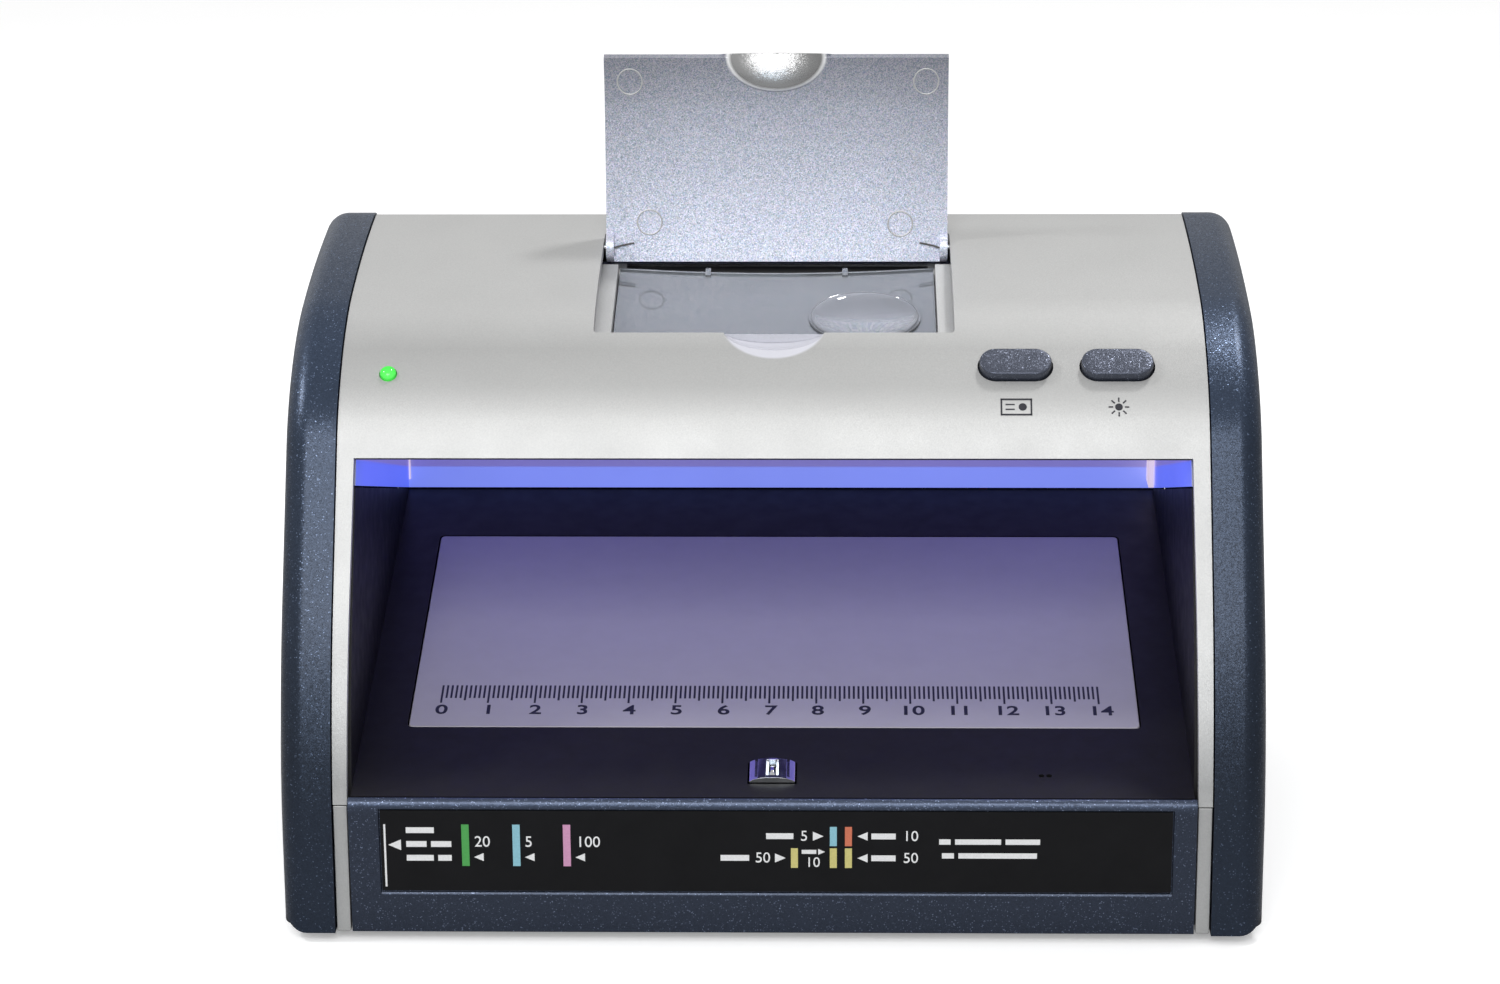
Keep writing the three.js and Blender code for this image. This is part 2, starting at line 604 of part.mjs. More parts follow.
// The pane's rear edge curves forward in the middle, with two small tabs on it.
function viewingPane() {
  const half = WINDOW.sight - GAP;
  const { depth, thickness, rear, sag } = PANE;
  const shape = new THREE.Shape();
  shape.moveTo(-half, GAP);
  shape.lineTo(half, GAP);
  shape.lineTo(half, rear);
  shape.quadraticCurveTo(0, rear - 2 * sag, -half, rear);
  const plate = new THREE.ExtrudeGeometry(shape, {
    depth: thickness, bevelEnabled: false, curveSegments: 10,
  }).translate(0, 0, -depth - thickness);
  const tabs = [-15, 15].map((x) => box(
    x - 0.6, x + 0.6, rear - sag - 1.2, rear - sag + 2.4, -depth - 1, -depth + 0.4,
  ));
  return join(plate, ...tabs);
}

function magnifierLens() {
  const y = local(topFrame, LENS.y, surface(LENS.y).z).x;
  const base = -PANE.depth + GAP;
  const dome = ellipsoid(LENS.x, y, base, LENS.r, LENS.r, LENS.dome);
  return keep(dome, box(-60, 60, 0.4, 60, base, 0));
}

// The lid is drawn shut, in the hinge's frame, and its group turns it open.
function lid() {
  const shut = (points) => points.map((p) => V2(p.x - HINGE.y, p.y - hingeZ));
  const outer = [
    V2(LID.front, surface(LID.front).z), ...between(OUTLINE, LID.front + 0.5, LID.back - 0.5),
    V2(LID.back, surface(LID.back).z),
  ];
  const plate = sweepX(
    shut([...outer, ...offset(outer, -LID.thickness).reverse()]), -LID.half, LID.half,
  );
  const above = shut(offset(outer, 20));
  const skyline = shut(outer);
  const trim = sweepX([...skyline, ...above.reverse()], -60, 60);
  const inner = LID.half - HINGE.earWidth;
  const ears = SIDES.map((s) => rod(...span(s, inner, LID.half), 0, 0, HINGE.earR, 24));
  const toHinge = [0, -HINGE.y, -hingeZ];
  const bulge = keep(
    scoop(1.2, 1.4, LID.thickness).translate(...toHinge),
    box(-20, 20, LID.front - HINGE.y, 0, -20, 20),
  );
  const hollow = scoop().translate(...toHinge);
  // Each ear has a bore for its pin, a cup for the spring's coil and a slot for its leg.
  const web = 0.45;
  const clear = 60;
  const hollows = SIDES.flatMap((s) => [
    rod(...span(s, inner - 1.4, clear), 0, 0, HINGE.pinR + GAP),
    rod(...span(s, inner + web, clear), 0, 0, SPRING.coilR + SPRING.wireR + 0.15),
    box(...span(s, inner - 1, clear), -0.6, 0.6, -SPRING.coilR - 0.5, 0),
  ]);
  return cut(join(plate, ...ears, bulge), trim, hollow, ...hollows);
}

// A torsion spring: its coil sits in the lid's ear, its leg lies along the lid's inner face.
function lidSpring(side) {
  const { coilR, wireR, pitch, turns, leg } = SPRING;
  const start = LID.half - 0.1 - wireR;
  const steps = 8;
  const points = [];
  for (let i = 0; i <= turns * steps; i += 1) {
    const angle = Math.PI / 2 + (i / steps) * Math.PI * 2;
    const x = start - (pitch * i) / steps;
    points.push(V3(x, coilR * Math.cos(angle), coilR * Math.sin(angle)));
  }
  const inner = LID.half - HINGE.earWidth;
  points.push(V3(inner - 0.4, 0, -coilR), V3(inner - 1.2, -0.25, -coilR));
  points.push(V3(inner - leg, -0.95, -coilR));
  const spring = join(wire(points, wireR, 30, 6));
  return side > 0 ? spring : mirrored(spring);
}

function hingePin(side) {
  const inner = LID.half - HINGE.earWidth - 0.9;
  return rod(...span(side, inner, WINDOW.half + 2.9), 0, 0, HINGE.pinR, 12);
}

// ---- Buttons, switches and status lamp, in the shoulder's frame --------------------------
const FLANGE_TOP = -WALL - 0.7;
const SWITCH_TOP = FLANGE_TOP - BUTTON.flange - GAP - 0.7;

function button(x) {
  const { width, height, proud, flange } = BUTTON;
  const crown = 0.5;
  const stem = pill(width, height, FLANGE_TOP - 0.2, proud - crown);
  const crownTop = new THREE.ExtrudeGeometry(pillShape(width, height), {
    depth: 0.2, bevelEnabled: true, bevelThickness: crown, bevelSize: crown,
    bevelOffset: -crown, bevelSegments: 2, curveSegments: 8,
  }).translate(0, 0, proud - crown - 0.2);
  const skirt = pill(width + 2.6, height + 1.6, FLANGE_TOP - flange, FLANGE_TOP);
  return join(stem, crownTop, skirt).translate(x, 0, 0);
}

const plunger = (x) => post(x, 0, 1.5, SWITCH_TOP - 0.6, SWITCH_TOP + 0.7, 12);

function switchBody(x) {
  const z1 = SWITCH_TOP - GAP;
  return cut(
    box(x - 3, x + 3, -3, 3, z1 - 2.6, z1),
    post(x, 0, 1.8, z1 - 1.4, z1 + 1, 12),
  );
}

function buttonBoard() {
  const z1 = SWITCH_TOP - GAP - 2.6 - GAP;
  return drilledBoard(BUTTON.xs[0] - 9, BUTTON.xs[1] + 9, -4, 4, z1 - 1.2, z1);
}

function statusLed() {
  const { x, y, r } = STATUS_LED;
  const profile = [V2(0, -5), V2(r + 0.7, -5), V2(r + 0.7, -3.4), V2(r, -3.4), V2(r, 0.2)];
  for (let i = 1; i <= 4; i += 1) {
    const angle = (i * Math.PI) / 8;
    profile.push(V2(i === 4 ? 0 : r * Math.cos(angle), 0.2 + 1.1 * Math.sin(angle)));
  }
  return new THREE.LatheGeometry(profile, 16).rotateX(Math.PI / 2).translate(x, y, 0);
}

function statusBoard() {
  const { x, y } = STATUS_LED;
  return box(x - 5, x + 5, y - 3.5, y + 3.5, -6.5, -5.3);
}

// ---- Electronics, sockets, feet and wiring -----------------------------------------------
// The main board with its chips, capacitors and row of sockets soldered on.
function mainBoard() {
  const { x, y, width, depth, z, thickness } = BOARD;
  const face = z + thickness - 0.1;
  const parts = [
    box(12, 26, 92, 106, face, face + 2.1), box(-12, -2, 84, 92, face, face + 1.7),
    ...[[42, 84], [42, 96], [54, 84]].map(([px, py]) => post(px, py, 4, face, face + 10, 12)),
    ...[-20, -8, 4, 16].map((px) => box(px, px + 8, 73, 77, face, face + 5)),
  ];
  const plate = box(x - width / 2, x + width / 2, y - depth / 2, y + depth / 2, z, z + thickness);
  const holes = BOARD_CORNERS.map(([cx, cy]) => post(cx, cy, 1.5, z - 3, z + 5, 8));
  return cut(join(plate, ...parts), ...holes);
}

function buzzer() {
  const z = BOARD.z + BOARD.thickness + GAP;
  return cut(post(-14, 110, 6, z, z + 7, 20), post(-14, 110, 1, z + 5, z + 9, 10));
}

function dcJack() {
  const { x, z, half } = DC_JACK;
  const y1 = BODY_DEPTH - WALL - GAP;
  const shell = box(x - half, x + half, y1 - 14, y1, z - half + 0.7, z + half);
  const neck = barrel(x, z, 4.2, y1 - 1, BODY_DEPTH - 0.2, 20);
  return cut(join(shell, neck), barrel(x, z, 3, y1 - 11, BODY_DEPTH + 5, 16));
}

const dcPin = () => barrel(DC_JACK.x, DC_JACK.z, 1, BODY_DEPTH - 12.9, BODY_DEPTH - 2, 10);

function switchHousing() {
  const { x, z, halfWidth: w, halfHeight: h } = POWER_SWITCH;
  const y1 = BODY_DEPTH - 0.2;
  const can = box(x - w + GAP, x + w - GAP, y1 - 14, y1, z - h + GAP, z + h - GAP);
  return cut(can, box(x - w + 1.6, x + w - 1.6, y1 - 10, y1 + 5, z - h + 1.6, z + h - 1.6));
}

// The rocker is drawn centred on its pivot; the group places and tilts it.
const ROCKER = { tilt: THREE.MathUtils.degToRad(7), pivotY: BODY_DEPTH - 4.2 };

function rocker() {
  const { halfWidth, halfHeight } = POWER_SWITCH;
  const [w, h] = [halfWidth - 2.2, halfHeight - 2.2];
  const path = new THREE.Path();
  path.moveTo(-3, 0);
  path.lineTo(0, -h + 1);
  path.lineTo(2.6, -h + 0.3);
  path.quadraticCurveTo(1.9, 0, 2.6, h - 0.3);
  path.lineTo(0, h - 1);
  return sweepX(path.getPoints(4), POWER_SWITCH.x - w, POWER_SWITCH.x + w);
}

function foot(x, y) {
  const edge = [V2(0, -FOOT_H), V2(5.4, -FOOT_H), V2(6, -FOOT_H + 0.6), V2(6, 0), V2(0, 0)];
  const pad = new THREE.LatheGeometry(edge, 16).rotateX(Math.PI / 2);
  return pad.translate(x, y, 0);
}

// Leads from the main board's sockets, each through the space behind the chamber.
const LEADS = {
  uv_lamp_cable: [
    V3(-72, 50.5, 106), V3(-72, 62, 113), V3(-70, 90, 119), V3(-68, 110, 122.2),
    V3(-66, 126, 108), V3(-62, 131, 90), V3(-46, 131, 45), V3(-34, 120, 20),
    V3(-24, 95, 17), V3(-17, 80, 14),
  ],
  button_cable: [
    V3(61, 50.5, 108), V3(60, 64, 114), V3(60, 92, 119.5), V3(58, 110, 122.2),
    V3(56, 126, 108), V3(54, 131, 90), V3(44, 131, 45), V3(34, 122, 24),
    V3(20, 100, 18), V3(8, 80, 14),
  ],
  head_cable: [V3(0, 14, 22), V3(-1, 30, 12), V3(-4, 55, 8), V3(-4, 71, 13)],
  backlight_cable: [V3(20, 71, 31), V3(21, 74, 25), V3(20, 75, 16.6)],
};

const FEET = {
  front_left_foot: [-70, 16], front_right_foot: [70, 16],
  rear_left_foot: [-70, 122], rear_right_foot: [70, 122],
};

// ---- Assembly ----------------------------------------------------------------------------
add(body, 'top_cover', topCover(), 'silver');
add(body, 'left_side_cap', sideCap(-1), 'slate');
add(body, 'right_side_cap', sideCap(1), 'slate');
add(body, 'left_trim_strip', trimStrip(-1), 'silver');
add(body, 'right_trim_strip', trimStrip(1), 'silver');
add(body, 'front_fascia', frontFascia(), 'slate');
add(body, 'fascia_label', fasciaLabel(), 'black');
add(body, 'base_pan', basePan(), 'slate');
add(body, 'rear_panel', rearPanel(), 'slate');
for (const [name, [x, y]] of Object.entries(FEET)) add(body, name, foot(x, y), 'rubber');
CORNERS.forEach(([x, y], i) => {
  add(body, `base_screw_${i + 1}`, screw(x, y, 0.1, 3, 1.1, 12), 'steel');
});

add(body, 'bill_tray', billTray(), 'trayBlack');
add(body, 'chamber_liner', chamberLiner(), 'white');
add(tray, 'light_panel', lightPanel(), 'opal');
add(tray, 'backlight_board', backlightBoard(), 'board');
add(tray, 'magnetic_head', magneticHead(), 'chrome');
add(tray, 'magnetic_core', magneticCore(), 'steel');
add(tray, 'head_bracket', headBracket(), 'steel');
add(tray, 'left_head_screw', screw(-17, HEAD.at, -3.9, 1.9, 0.8, 1.2), 'steel');
add(tray, 'right_head_screw', screw(17, HEAD.at, -3.9, 1.9, 0.8, 1.2), 'steel');
add(tray, 'note_sensor', noteSensor(), 'black');

add(lamp, 'uv_lamp_bracket', lampBracket(), 'steel');
add(lamp, 'uv_led_board', lampBoard(), 'board');
add(lamp, 'uv_filter', lampFilter(), 'violet', { transparent: true, opacity: 0.6 });

add(topFrame, 'window_frame', windowFrame(), 'silver');
add(topFrame, 'viewing_pane', viewingPane(), 'clear', { transparent: true, opacity: 0.4 });
add(topFrame, 'magnifier_lens', magnifierLens(), 'clear', { transparent: true, opacity: 0.4 });
add(lidGroup, 'window_lid', lid(), 'silver');
add(lidGroup, 'left_hinge_pin', hingePin(-1), 'steel');
add(lidGroup, 'right_hinge_pin', hingePin(1), 'steel');
add(lidGroup, 'left_lid_spring', lidSpring(-1), 'steel');
add(lidGroup, 'right_lid_spring', lidSpring(1), 'steel');

const [watermarkX, uvX] = BUTTON.xs;
add(shoulder, 'watermark_button', button(watermarkX), 'slate');
add(shoulder, 'uv_button', button(uvX), 'slate');
add(shoulder, 'watermark_switch_plunger', plunger(watermarkX), 'black');
add(shoulder, 'uv_switch_plunger', plunger(uvX), 'black');
add(shoulder, 'watermark_switch_body', switchBody(watermarkX), 'steel');
add(shoulder, 'uv_switch_body', switchBody(uvX), 'steel');
add(shoulder, 'button_board', buttonBoard(), 'board');
add(shoulder, 'status_led', statusLed(), 'green');
add(shoulder, 'status_led_board', statusBoard(), 'board');

add(body, 'main_board', mainBoard(), 'board');
[BOARD_CORNERS[0], BOARD_CORNERS[3]].forEach(([x, y], i) => {
  const upsideDown = screw(x, y, 0, 2.4, 0.8, 5).rotateX(Math.PI);
  const seat = BOARD.z + BOARD.thickness + GAP;
  add(body, `board_screw_${i + 1}`, upsideDown.translate(0, 2 * y, seat), 'steel');
});
add(body, 'buzzer', buzzer(), 'black');
add(body, 'dc_jack', dcJack(), 'black');
add(body, 'dc_jack_pin', dcPin(), 'brass');
add(body, 'power_switch_housing', switchHousing(), 'black');
const rockerGroup = frame(body, ROCKER.pivotY, POWER_SWITCH.z, ROCKER.tilt);
add(rockerGroup, 'power_rocker', rocker(), 'black');
for (const [name, points] of Object.entries(LEADS)) add(body, name, wire(points, 1), 'wire');

export default root;
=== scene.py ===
import json
import math

import bmesh
import bpy
from mathutils import Matrix, Vector


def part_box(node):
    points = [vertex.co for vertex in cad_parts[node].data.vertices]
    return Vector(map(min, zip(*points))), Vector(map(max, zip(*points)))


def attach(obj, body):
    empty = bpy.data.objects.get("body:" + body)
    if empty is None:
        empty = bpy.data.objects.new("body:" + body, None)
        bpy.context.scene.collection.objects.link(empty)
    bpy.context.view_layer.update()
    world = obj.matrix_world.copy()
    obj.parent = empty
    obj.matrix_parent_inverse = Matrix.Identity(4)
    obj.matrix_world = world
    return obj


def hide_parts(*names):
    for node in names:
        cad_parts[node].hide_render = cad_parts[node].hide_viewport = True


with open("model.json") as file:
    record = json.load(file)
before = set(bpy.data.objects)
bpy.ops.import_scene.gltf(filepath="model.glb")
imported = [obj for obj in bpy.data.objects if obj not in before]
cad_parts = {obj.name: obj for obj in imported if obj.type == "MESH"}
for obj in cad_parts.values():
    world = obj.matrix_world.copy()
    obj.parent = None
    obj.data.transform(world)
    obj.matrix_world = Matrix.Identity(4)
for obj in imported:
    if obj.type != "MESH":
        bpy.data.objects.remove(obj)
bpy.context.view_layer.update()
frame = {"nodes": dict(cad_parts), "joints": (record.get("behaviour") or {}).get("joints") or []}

MM = 0.001

# ---- Sizes, in millimetres ----
WALL = 2.2
CAP_PROUD = 0.4
CAP_ROUND = 5.0
GAP = 0.3

low, high = (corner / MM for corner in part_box("right_side_cap"))
ORIGIN = Vector((0, low.y + CAP_PROUD, low.z))
HALF_WIDTH = high.x
CAP_INNER = low.x
BODY_DEPTH = high.y - low.y - 2 * CAP_PROUD

low, high = (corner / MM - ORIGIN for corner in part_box("top_cover"))
COVER_HALF = high.x
SEAM_Z = low.z
OPENING_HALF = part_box("left_trim_strip")[1].x / -MM
HOOD_LIP_Z = 94.9
OPENING_TOP_HALF = 86.75
REAR_SEAM_Z = 57.8
FASCIA_TOP, FASCIA_CORNER, FASCIA_LEAN = 29.4, 27.9, 1.6
LIP_OUT = 1.0

TRAY_SLOPE = math.radians(13.6)
TRAY_LENGTH = 130.0
TRAY_FRONT = 1.4
CHAMBER_HALF = 86.6
LINER_WALL = 1.5
CHAMBER_MIDDLE = (0, 70, 70)
LINER_SHADOW = (0, 125.4, 65.3)  # the lamp's rear edge shades the liner above a plane
LINER_SHADOW_FALL = 0.294  # through this point, falling this much per millimetre of depth
PANEL_HALF, PANEL_FRONT, PANEL_BACK = 77.1, 28.2, 108.0
HEAD_AT, HEAD_HALF, HEAD_DEPTH, HEAD_PROUD = 10.6, 4.7, 7.3, 1.4
SENSOR_X, SENSOR_AT, SENSOR_R, SENSOR_SPACING = 56.4, 9.95, 0.6, 1.55

WINDOW_HALF, WINDOW_FRONT, WINDOW_BACK, SIGHT_HALF = 38.0, 47.3, 94.8, 34.7
LID_HALF, LID_FRONT, LID_BACK, LID_THICK = 37.45, 48.2, 92.9, 2.0
SCOOP_Y, SCOOP_RX, SCOOP_RY, SCOOP_DEPTH, SCOOP_TILT = 48.4, 10.8, 7.0, 2.0, math.radians(18)
COVER_SCOOP = (0, 0.8, 0.4)  # how much larger the finger scoop is cut in the cover
LID_BOSS = (1.2, 1.4, LID_THICK)  # how much larger the boss below it stands under the lid
LENS_X, LENS_Y, LENS_R = 19.2, 63.3, 12.0
PANE_DEPTH, PANE_THICK, PANE_REAR, PANE_SAG = 5.0, 1.5, 40.9, 2.6
BUTTON_Y, BUTTON_W, BUTTON_H, BUTTON_PROUD = 39.05, 15.0, 6.9, 2.0
LED_Y, LED_R = -2.0, 1.7
LABEL_LEFT, LABEL_RIGHT, LABEL_LOW, LABEL_HIGH = -80.5, 82.1, 9.0, 27.6

# The outline's curves, each as Bezier control points in (Y, Z), from front toe to rear toe.
OUTLINE_CURVES = [
    [(0, 0), (0, 20)],
    [(0, 20), (0, 36), (5.8, 54.5), (12.2, 67.5)],
    [(12.2, 67.5), (27.5, 98)],
    [(27.5, 98), (32.6, 108.3), (45.8, 117.4), (58.3, 120.9)],
    [(58.3, 120.9), (80, 126.4), (107, 128.7)],
    [(107, 128.7), (110.5, 129), (113.2, 127.2)],
    [(113.2, 127.2), (124, 120), (BODY_DEPTH - 0.5, 108), (BODY_DEPTH, 84)],
    [(BODY_DEPTH, 84), (BODY_DEPTH, 0)],
]


# ---- Outline ----
def bezier(points, t):
    """The point at t on a Bezier curve of any degree."""
    points = [Vector(p) for p in points]
    while len(points) > 1:
        points = [a.lerp(b, t) for a, b in zip(points, points[1:])]
    return points[0]


def bezier_points(points, count):
    """A Bezier curve as count straight pieces, both ends included."""
    return [bezier(points, i / count) for i in range(count + 1)]


def outline_points(curve, step=1.5):
    """Points along one curve of the outline, about step apart, without the last one."""
    chord = sum((Vector(b) - Vector(a)).length for a, b in zip(curve, curve[1:]))
    return bezier_points(curve, max(1, round(chord / step)))[:-1]


OUTLINE = [p for curve in OUTLINE_CURVES for p in outline_points(curve)]
OUTLINE.append(Vector(OUTLINE_CURVES[-1][-1]))


def offset(points, distance, closed=False):
    """A line or closed outline moved to its left by distance, corners mitred."""
    count = len(points)
    moved_points = []
    for i, point in enumerate(points):
        before = (point - points[i - 1]).normalized() if i or closed else None
        after = (points[(i + 1) % count] - point).normalized() if i + 1 < count or closed else None
        before, after = before or after, after or before
        left = Vector((-before.y - after.y, before.x + after.x))
        moved_points.append(point + left * distance / (1 + before.dot(after)))
    return moved_points


def surface(y):
    """Height of the outline's upper side at a depth."""
    for a, b in zip(OUTLINE, OUTLINE[1:]):
        if a.x < y <= b.x:
            return a.y + (b.y - a.y) * (y - a.x) / (b.x - a.x)
    raise ValueError(f"no surface at {y}")


# ---- Frames ----
HOUSING = Matrix.Translation(ORIGIN * MM) @ Matrix.Scale(MM, 4)


def turned(y, z, angle):
    """A frame at a place on the housing's middle plane, turned about X."""
    return HOUSING @ Matrix.Translation((0, y, z)) @ Matrix.Rotation(angle, 4, "X")


JOINTS = {joint["name"]: joint for joint in frame["joints"]}
TRAY = turned(-LIP_OUT, FASCIA_TOP, TRAY_SLOPE)
TOP_SLOPE = math.atan(
    (surface(WINDOW_BACK) - surface(WINDOW_FRONT)) / (WINDOW_BACK - WINDOW_FRONT)
)
TOP = turned(WINDOW_FRONT, surface(WINDOW_FRONT), TOP_SLOPE)
PRESS_AXIS = Vector(JOINTS["uv_button_press"]["axis"])
SHOULDER = turned(BUTTON_Y, surface(BUTTON_Y), math.atan2(PRESS_AXIS.y, -PRESS_AXIS.z))
HINGE = Vector(JOINTS["lid_hinge"]["pos_m"]) / MM - ORIGIN
LID_OPEN = math.pi / 2 + TOP_SLOPE
LID = turned(HINGE.y, HINGE.z, -LID_OPEN)
IN_TOP = TOP.inverted() @ HOUSING


# ---- Mesh building, in millimetres ----
def solid(vertices, faces):
    """A mesh of numbered vertices and faces, its normals pointing out."""
    bm = bmesh.new()
    verts = [bm.verts.new(v) for v in vertices]
    for face in faces:
        bm.faces.new([verts[i] for i in face])
    bmesh.ops.recalc_face_normals(bm, faces=bm.faces)
    return bm


def loft(rings):
    """A closed skin through rings of equally many points, its two ends capped."""
    count = len(rings[0])
    vertices = [v for ring in rings for v in ring]
    faces = []
    for k in range(len(rings) - 1):
        a, b = k * count, (k + 1) * count
        for i in range(count):
            j = (i + 1) % count
            faces.append((a + i, a + j, b + j, b + i))
    last = (len(rings) - 1) * count
    faces.append(tuple(reversed(range(count))))
    faces.append(tuple(range(last, last + count)))
    return solid(vertices, faces)


def sweep_x(points, x0, x1):
    """A (Y, Z) outline swept along X."""
    return loft([[Vector((x, p[0], p[1])) for p in points] for x in (x0, x1)])


def raise_z(points, z0, z1):
    """An (X, Y) outline raised along Z."""
    return loft([[Vector((p[0], p[1], z)) for p in points] for z in (z0, z1)])


def box(x0, x1, y0, y1, z0, z1):
    """A box between two X, two Y and two Z values."""
    return raise_z([(x0, y0), (x1, y0), (x1, y1), (x0, y1)], z0, z1)


def arc(cx, cy, r, start, end, count):
    """Points on a circle, angles in degrees, both ends included."""
    angles = [math.radians(start + (end - start) * i / count) for i in range(count + 1)]
    return [Vector((cx + r * math.cos(a), cy + r * math.sin(a))) for a in angles]


def quarter_turn(steps):
    """Sine and cosine at even steps from 0 to 90 degrees."""
    angles = [math.pi / 2 * i / steps for i in range(steps + 1)]
    return [(math.sin(a), math.cos(a)) for a in angles]


def pill_outline(width, height, count=16):
    """A slot with round ends, about the origin."""
    r = height / 2
    side = width / 2 - r
    return arc(side, 0, r, -90, 90, count) + arc(-side, 0, r, 90, 270, count)


def rounded_rect(x0, x1, y0, y1, r, count=5):
    """A rectangle with round corners."""
    return (
        arc(x1 - r, y0 + r, r, -90, 0, count) + arc(x1 - r, y1 - r, r, 0, 90, count)
        + arc(x0 + r, y1 - r, r, 90, 180, count) + arc(x0 + r, y0 + r, r, 180, 270, count)
    )


def post(x, y, r, z0, z1, count=32):
    """A round bar along Z."""
    return raise_z(arc(x, y, r, 0, 360, count)[:-1], z0, z1)


def rod(x0, x1, y, z, r, count=32):
    """A round bar along X."""
    return sweep_x(arc(y, z, r, 0, 360, count)[:-1], x0, x1)


def lathe(profile, x, y, count=40):
    """A solid of revolution about the vertical through (x, y); profile runs (radius, z)."""
    rings = []
    for r, z in profile:
        rings.append([Vector((p.x, p.y, z)) for p in arc(x, y, max(r, 0.01), 0, 360, count)[:-1]])
    return loft(rings)


def tube(points, r, count=12):
    """A round wire through a line of points."""
    rings = []
    side = Vector((1, 0, 0))
    for i, point in enumerate(points):
        along = (points[min(i + 1, len(points) - 1)] - points[max(i - 1, 0)]).normalized()
        side = (side - along * side.dot(along)).normalized()
        up = along.cross(side)
        ring = arc(0, 0, r, 0, 360, count)[:-1]
        rings.append([point + side * p.x + up * p.y for p in ring])
    return loft(rings)


def moved(bm, matrix):
    bmesh.ops.transform(bm, matrix=matrix, verts=bm.verts)
    return bm


def linked(name, data):
    """A new object in the scene that holds data."""
    obj = bpy.data.objects.new(name, data)
    bpy.context.scene.collection.objects.link(obj)
    return obj


def mesh_object(name, bm):
    """A new object in the scene made of a mesh, which is used up."""
    mesh = bpy.data.meshes.new(name)
    bm.to_mesh(mesh)
    bm.free()
    return linked(name, mesh)


def merged(parts):
    """Several separate solids as one mesh."""
    whole = bmesh.new()
    for part in parts:
        mesh = bpy.data.meshes.new("part")
        part.to_mesh(mesh)
        part.free()
        whole.from_mesh(mesh)
        bpy.data.meshes.remove(mesh)
    return whole


def evaluated(obj):
    """An object's mesh with its modifiers or its letters applied, doubled points welded."""
    mesh = bpy.data.meshes.new_from_object(
        obj.evaluated_get(bpy.context.evaluated_depsgraph_get())
    )
    bm = bmesh.new()
    bm.from_mesh(mesh)
    bpy.data.meshes.remove(mesh)
    bmesh.ops.remove_doubles(bm, verts=bm.verts, dist=1e-4)
    return bm


def combined(base, tools, operation="DIFFERENCE"):
    """base cut by, joined with or kept inside each tool."""
    target, *helpers = [mesh_object("temporary", part) for part in (base, *tools)]
    for helper in helpers:
        change = target.modifiers.new("change", "BOOLEAN")
        change.operation = operation
        change.solver = "EXACT"
        change.object = helper
    bm = evaluated(target)
    for obj in (target, *helpers):
        mesh = obj.data
        bpy.data.objects.remove(obj)
        bpy.data.meshes.remove(mesh)
    bmesh.ops.dissolve_degenerate(bm, dist=1e-4, edges=bm.edges)
    return bm


SHARP_ANGLE = 28  # degrees between two faces whose edge is rounded or drawn sharp


def finish_edges(obj, width, segments=3, angle=SHARP_ANGLE):
    """Rounds an object's sharp edges by width millimetres and evens its shading."""
    if width:
        bevel = obj.modifiers.new("rounding", "BEVEL")
        bevel.width = width * MM
        bevel.segments = segments
        bevel.limit_method = "ANGLE"
        bevel.angle_limit = math.radians(angle)
        bevel.use_clamp_overlap = True
        bevel.miter_outer = "MITER_ARC"
    shading = obj.modifiers.new("shading", "WEIGHTED_NORMAL")
    shading.keep_sharp = True
    shading.weight = 100


def piece(name, bm, matrix, material, stands_for=(), rounding=0.0, body="housing"):
    """Makes a shown piece of a mesh drawn in a frame, riding on a body of the CAD."""
    bm.transform(matrix)
    bmesh.ops.recalc_face_normals(bm, faces=bm.faces)
    obj = mesh_object(name, bm)
    obj.data.shade_smooth()
    if not rounding:
        obj.data.set_sharp_from_angle(angle=math.radians(SHARP_ANGLE))
    obj.data.materials.append(material)
    finish_edges(obj, rounding)
    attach(obj, body)
    if stands_for:
        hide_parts(*stands_for)


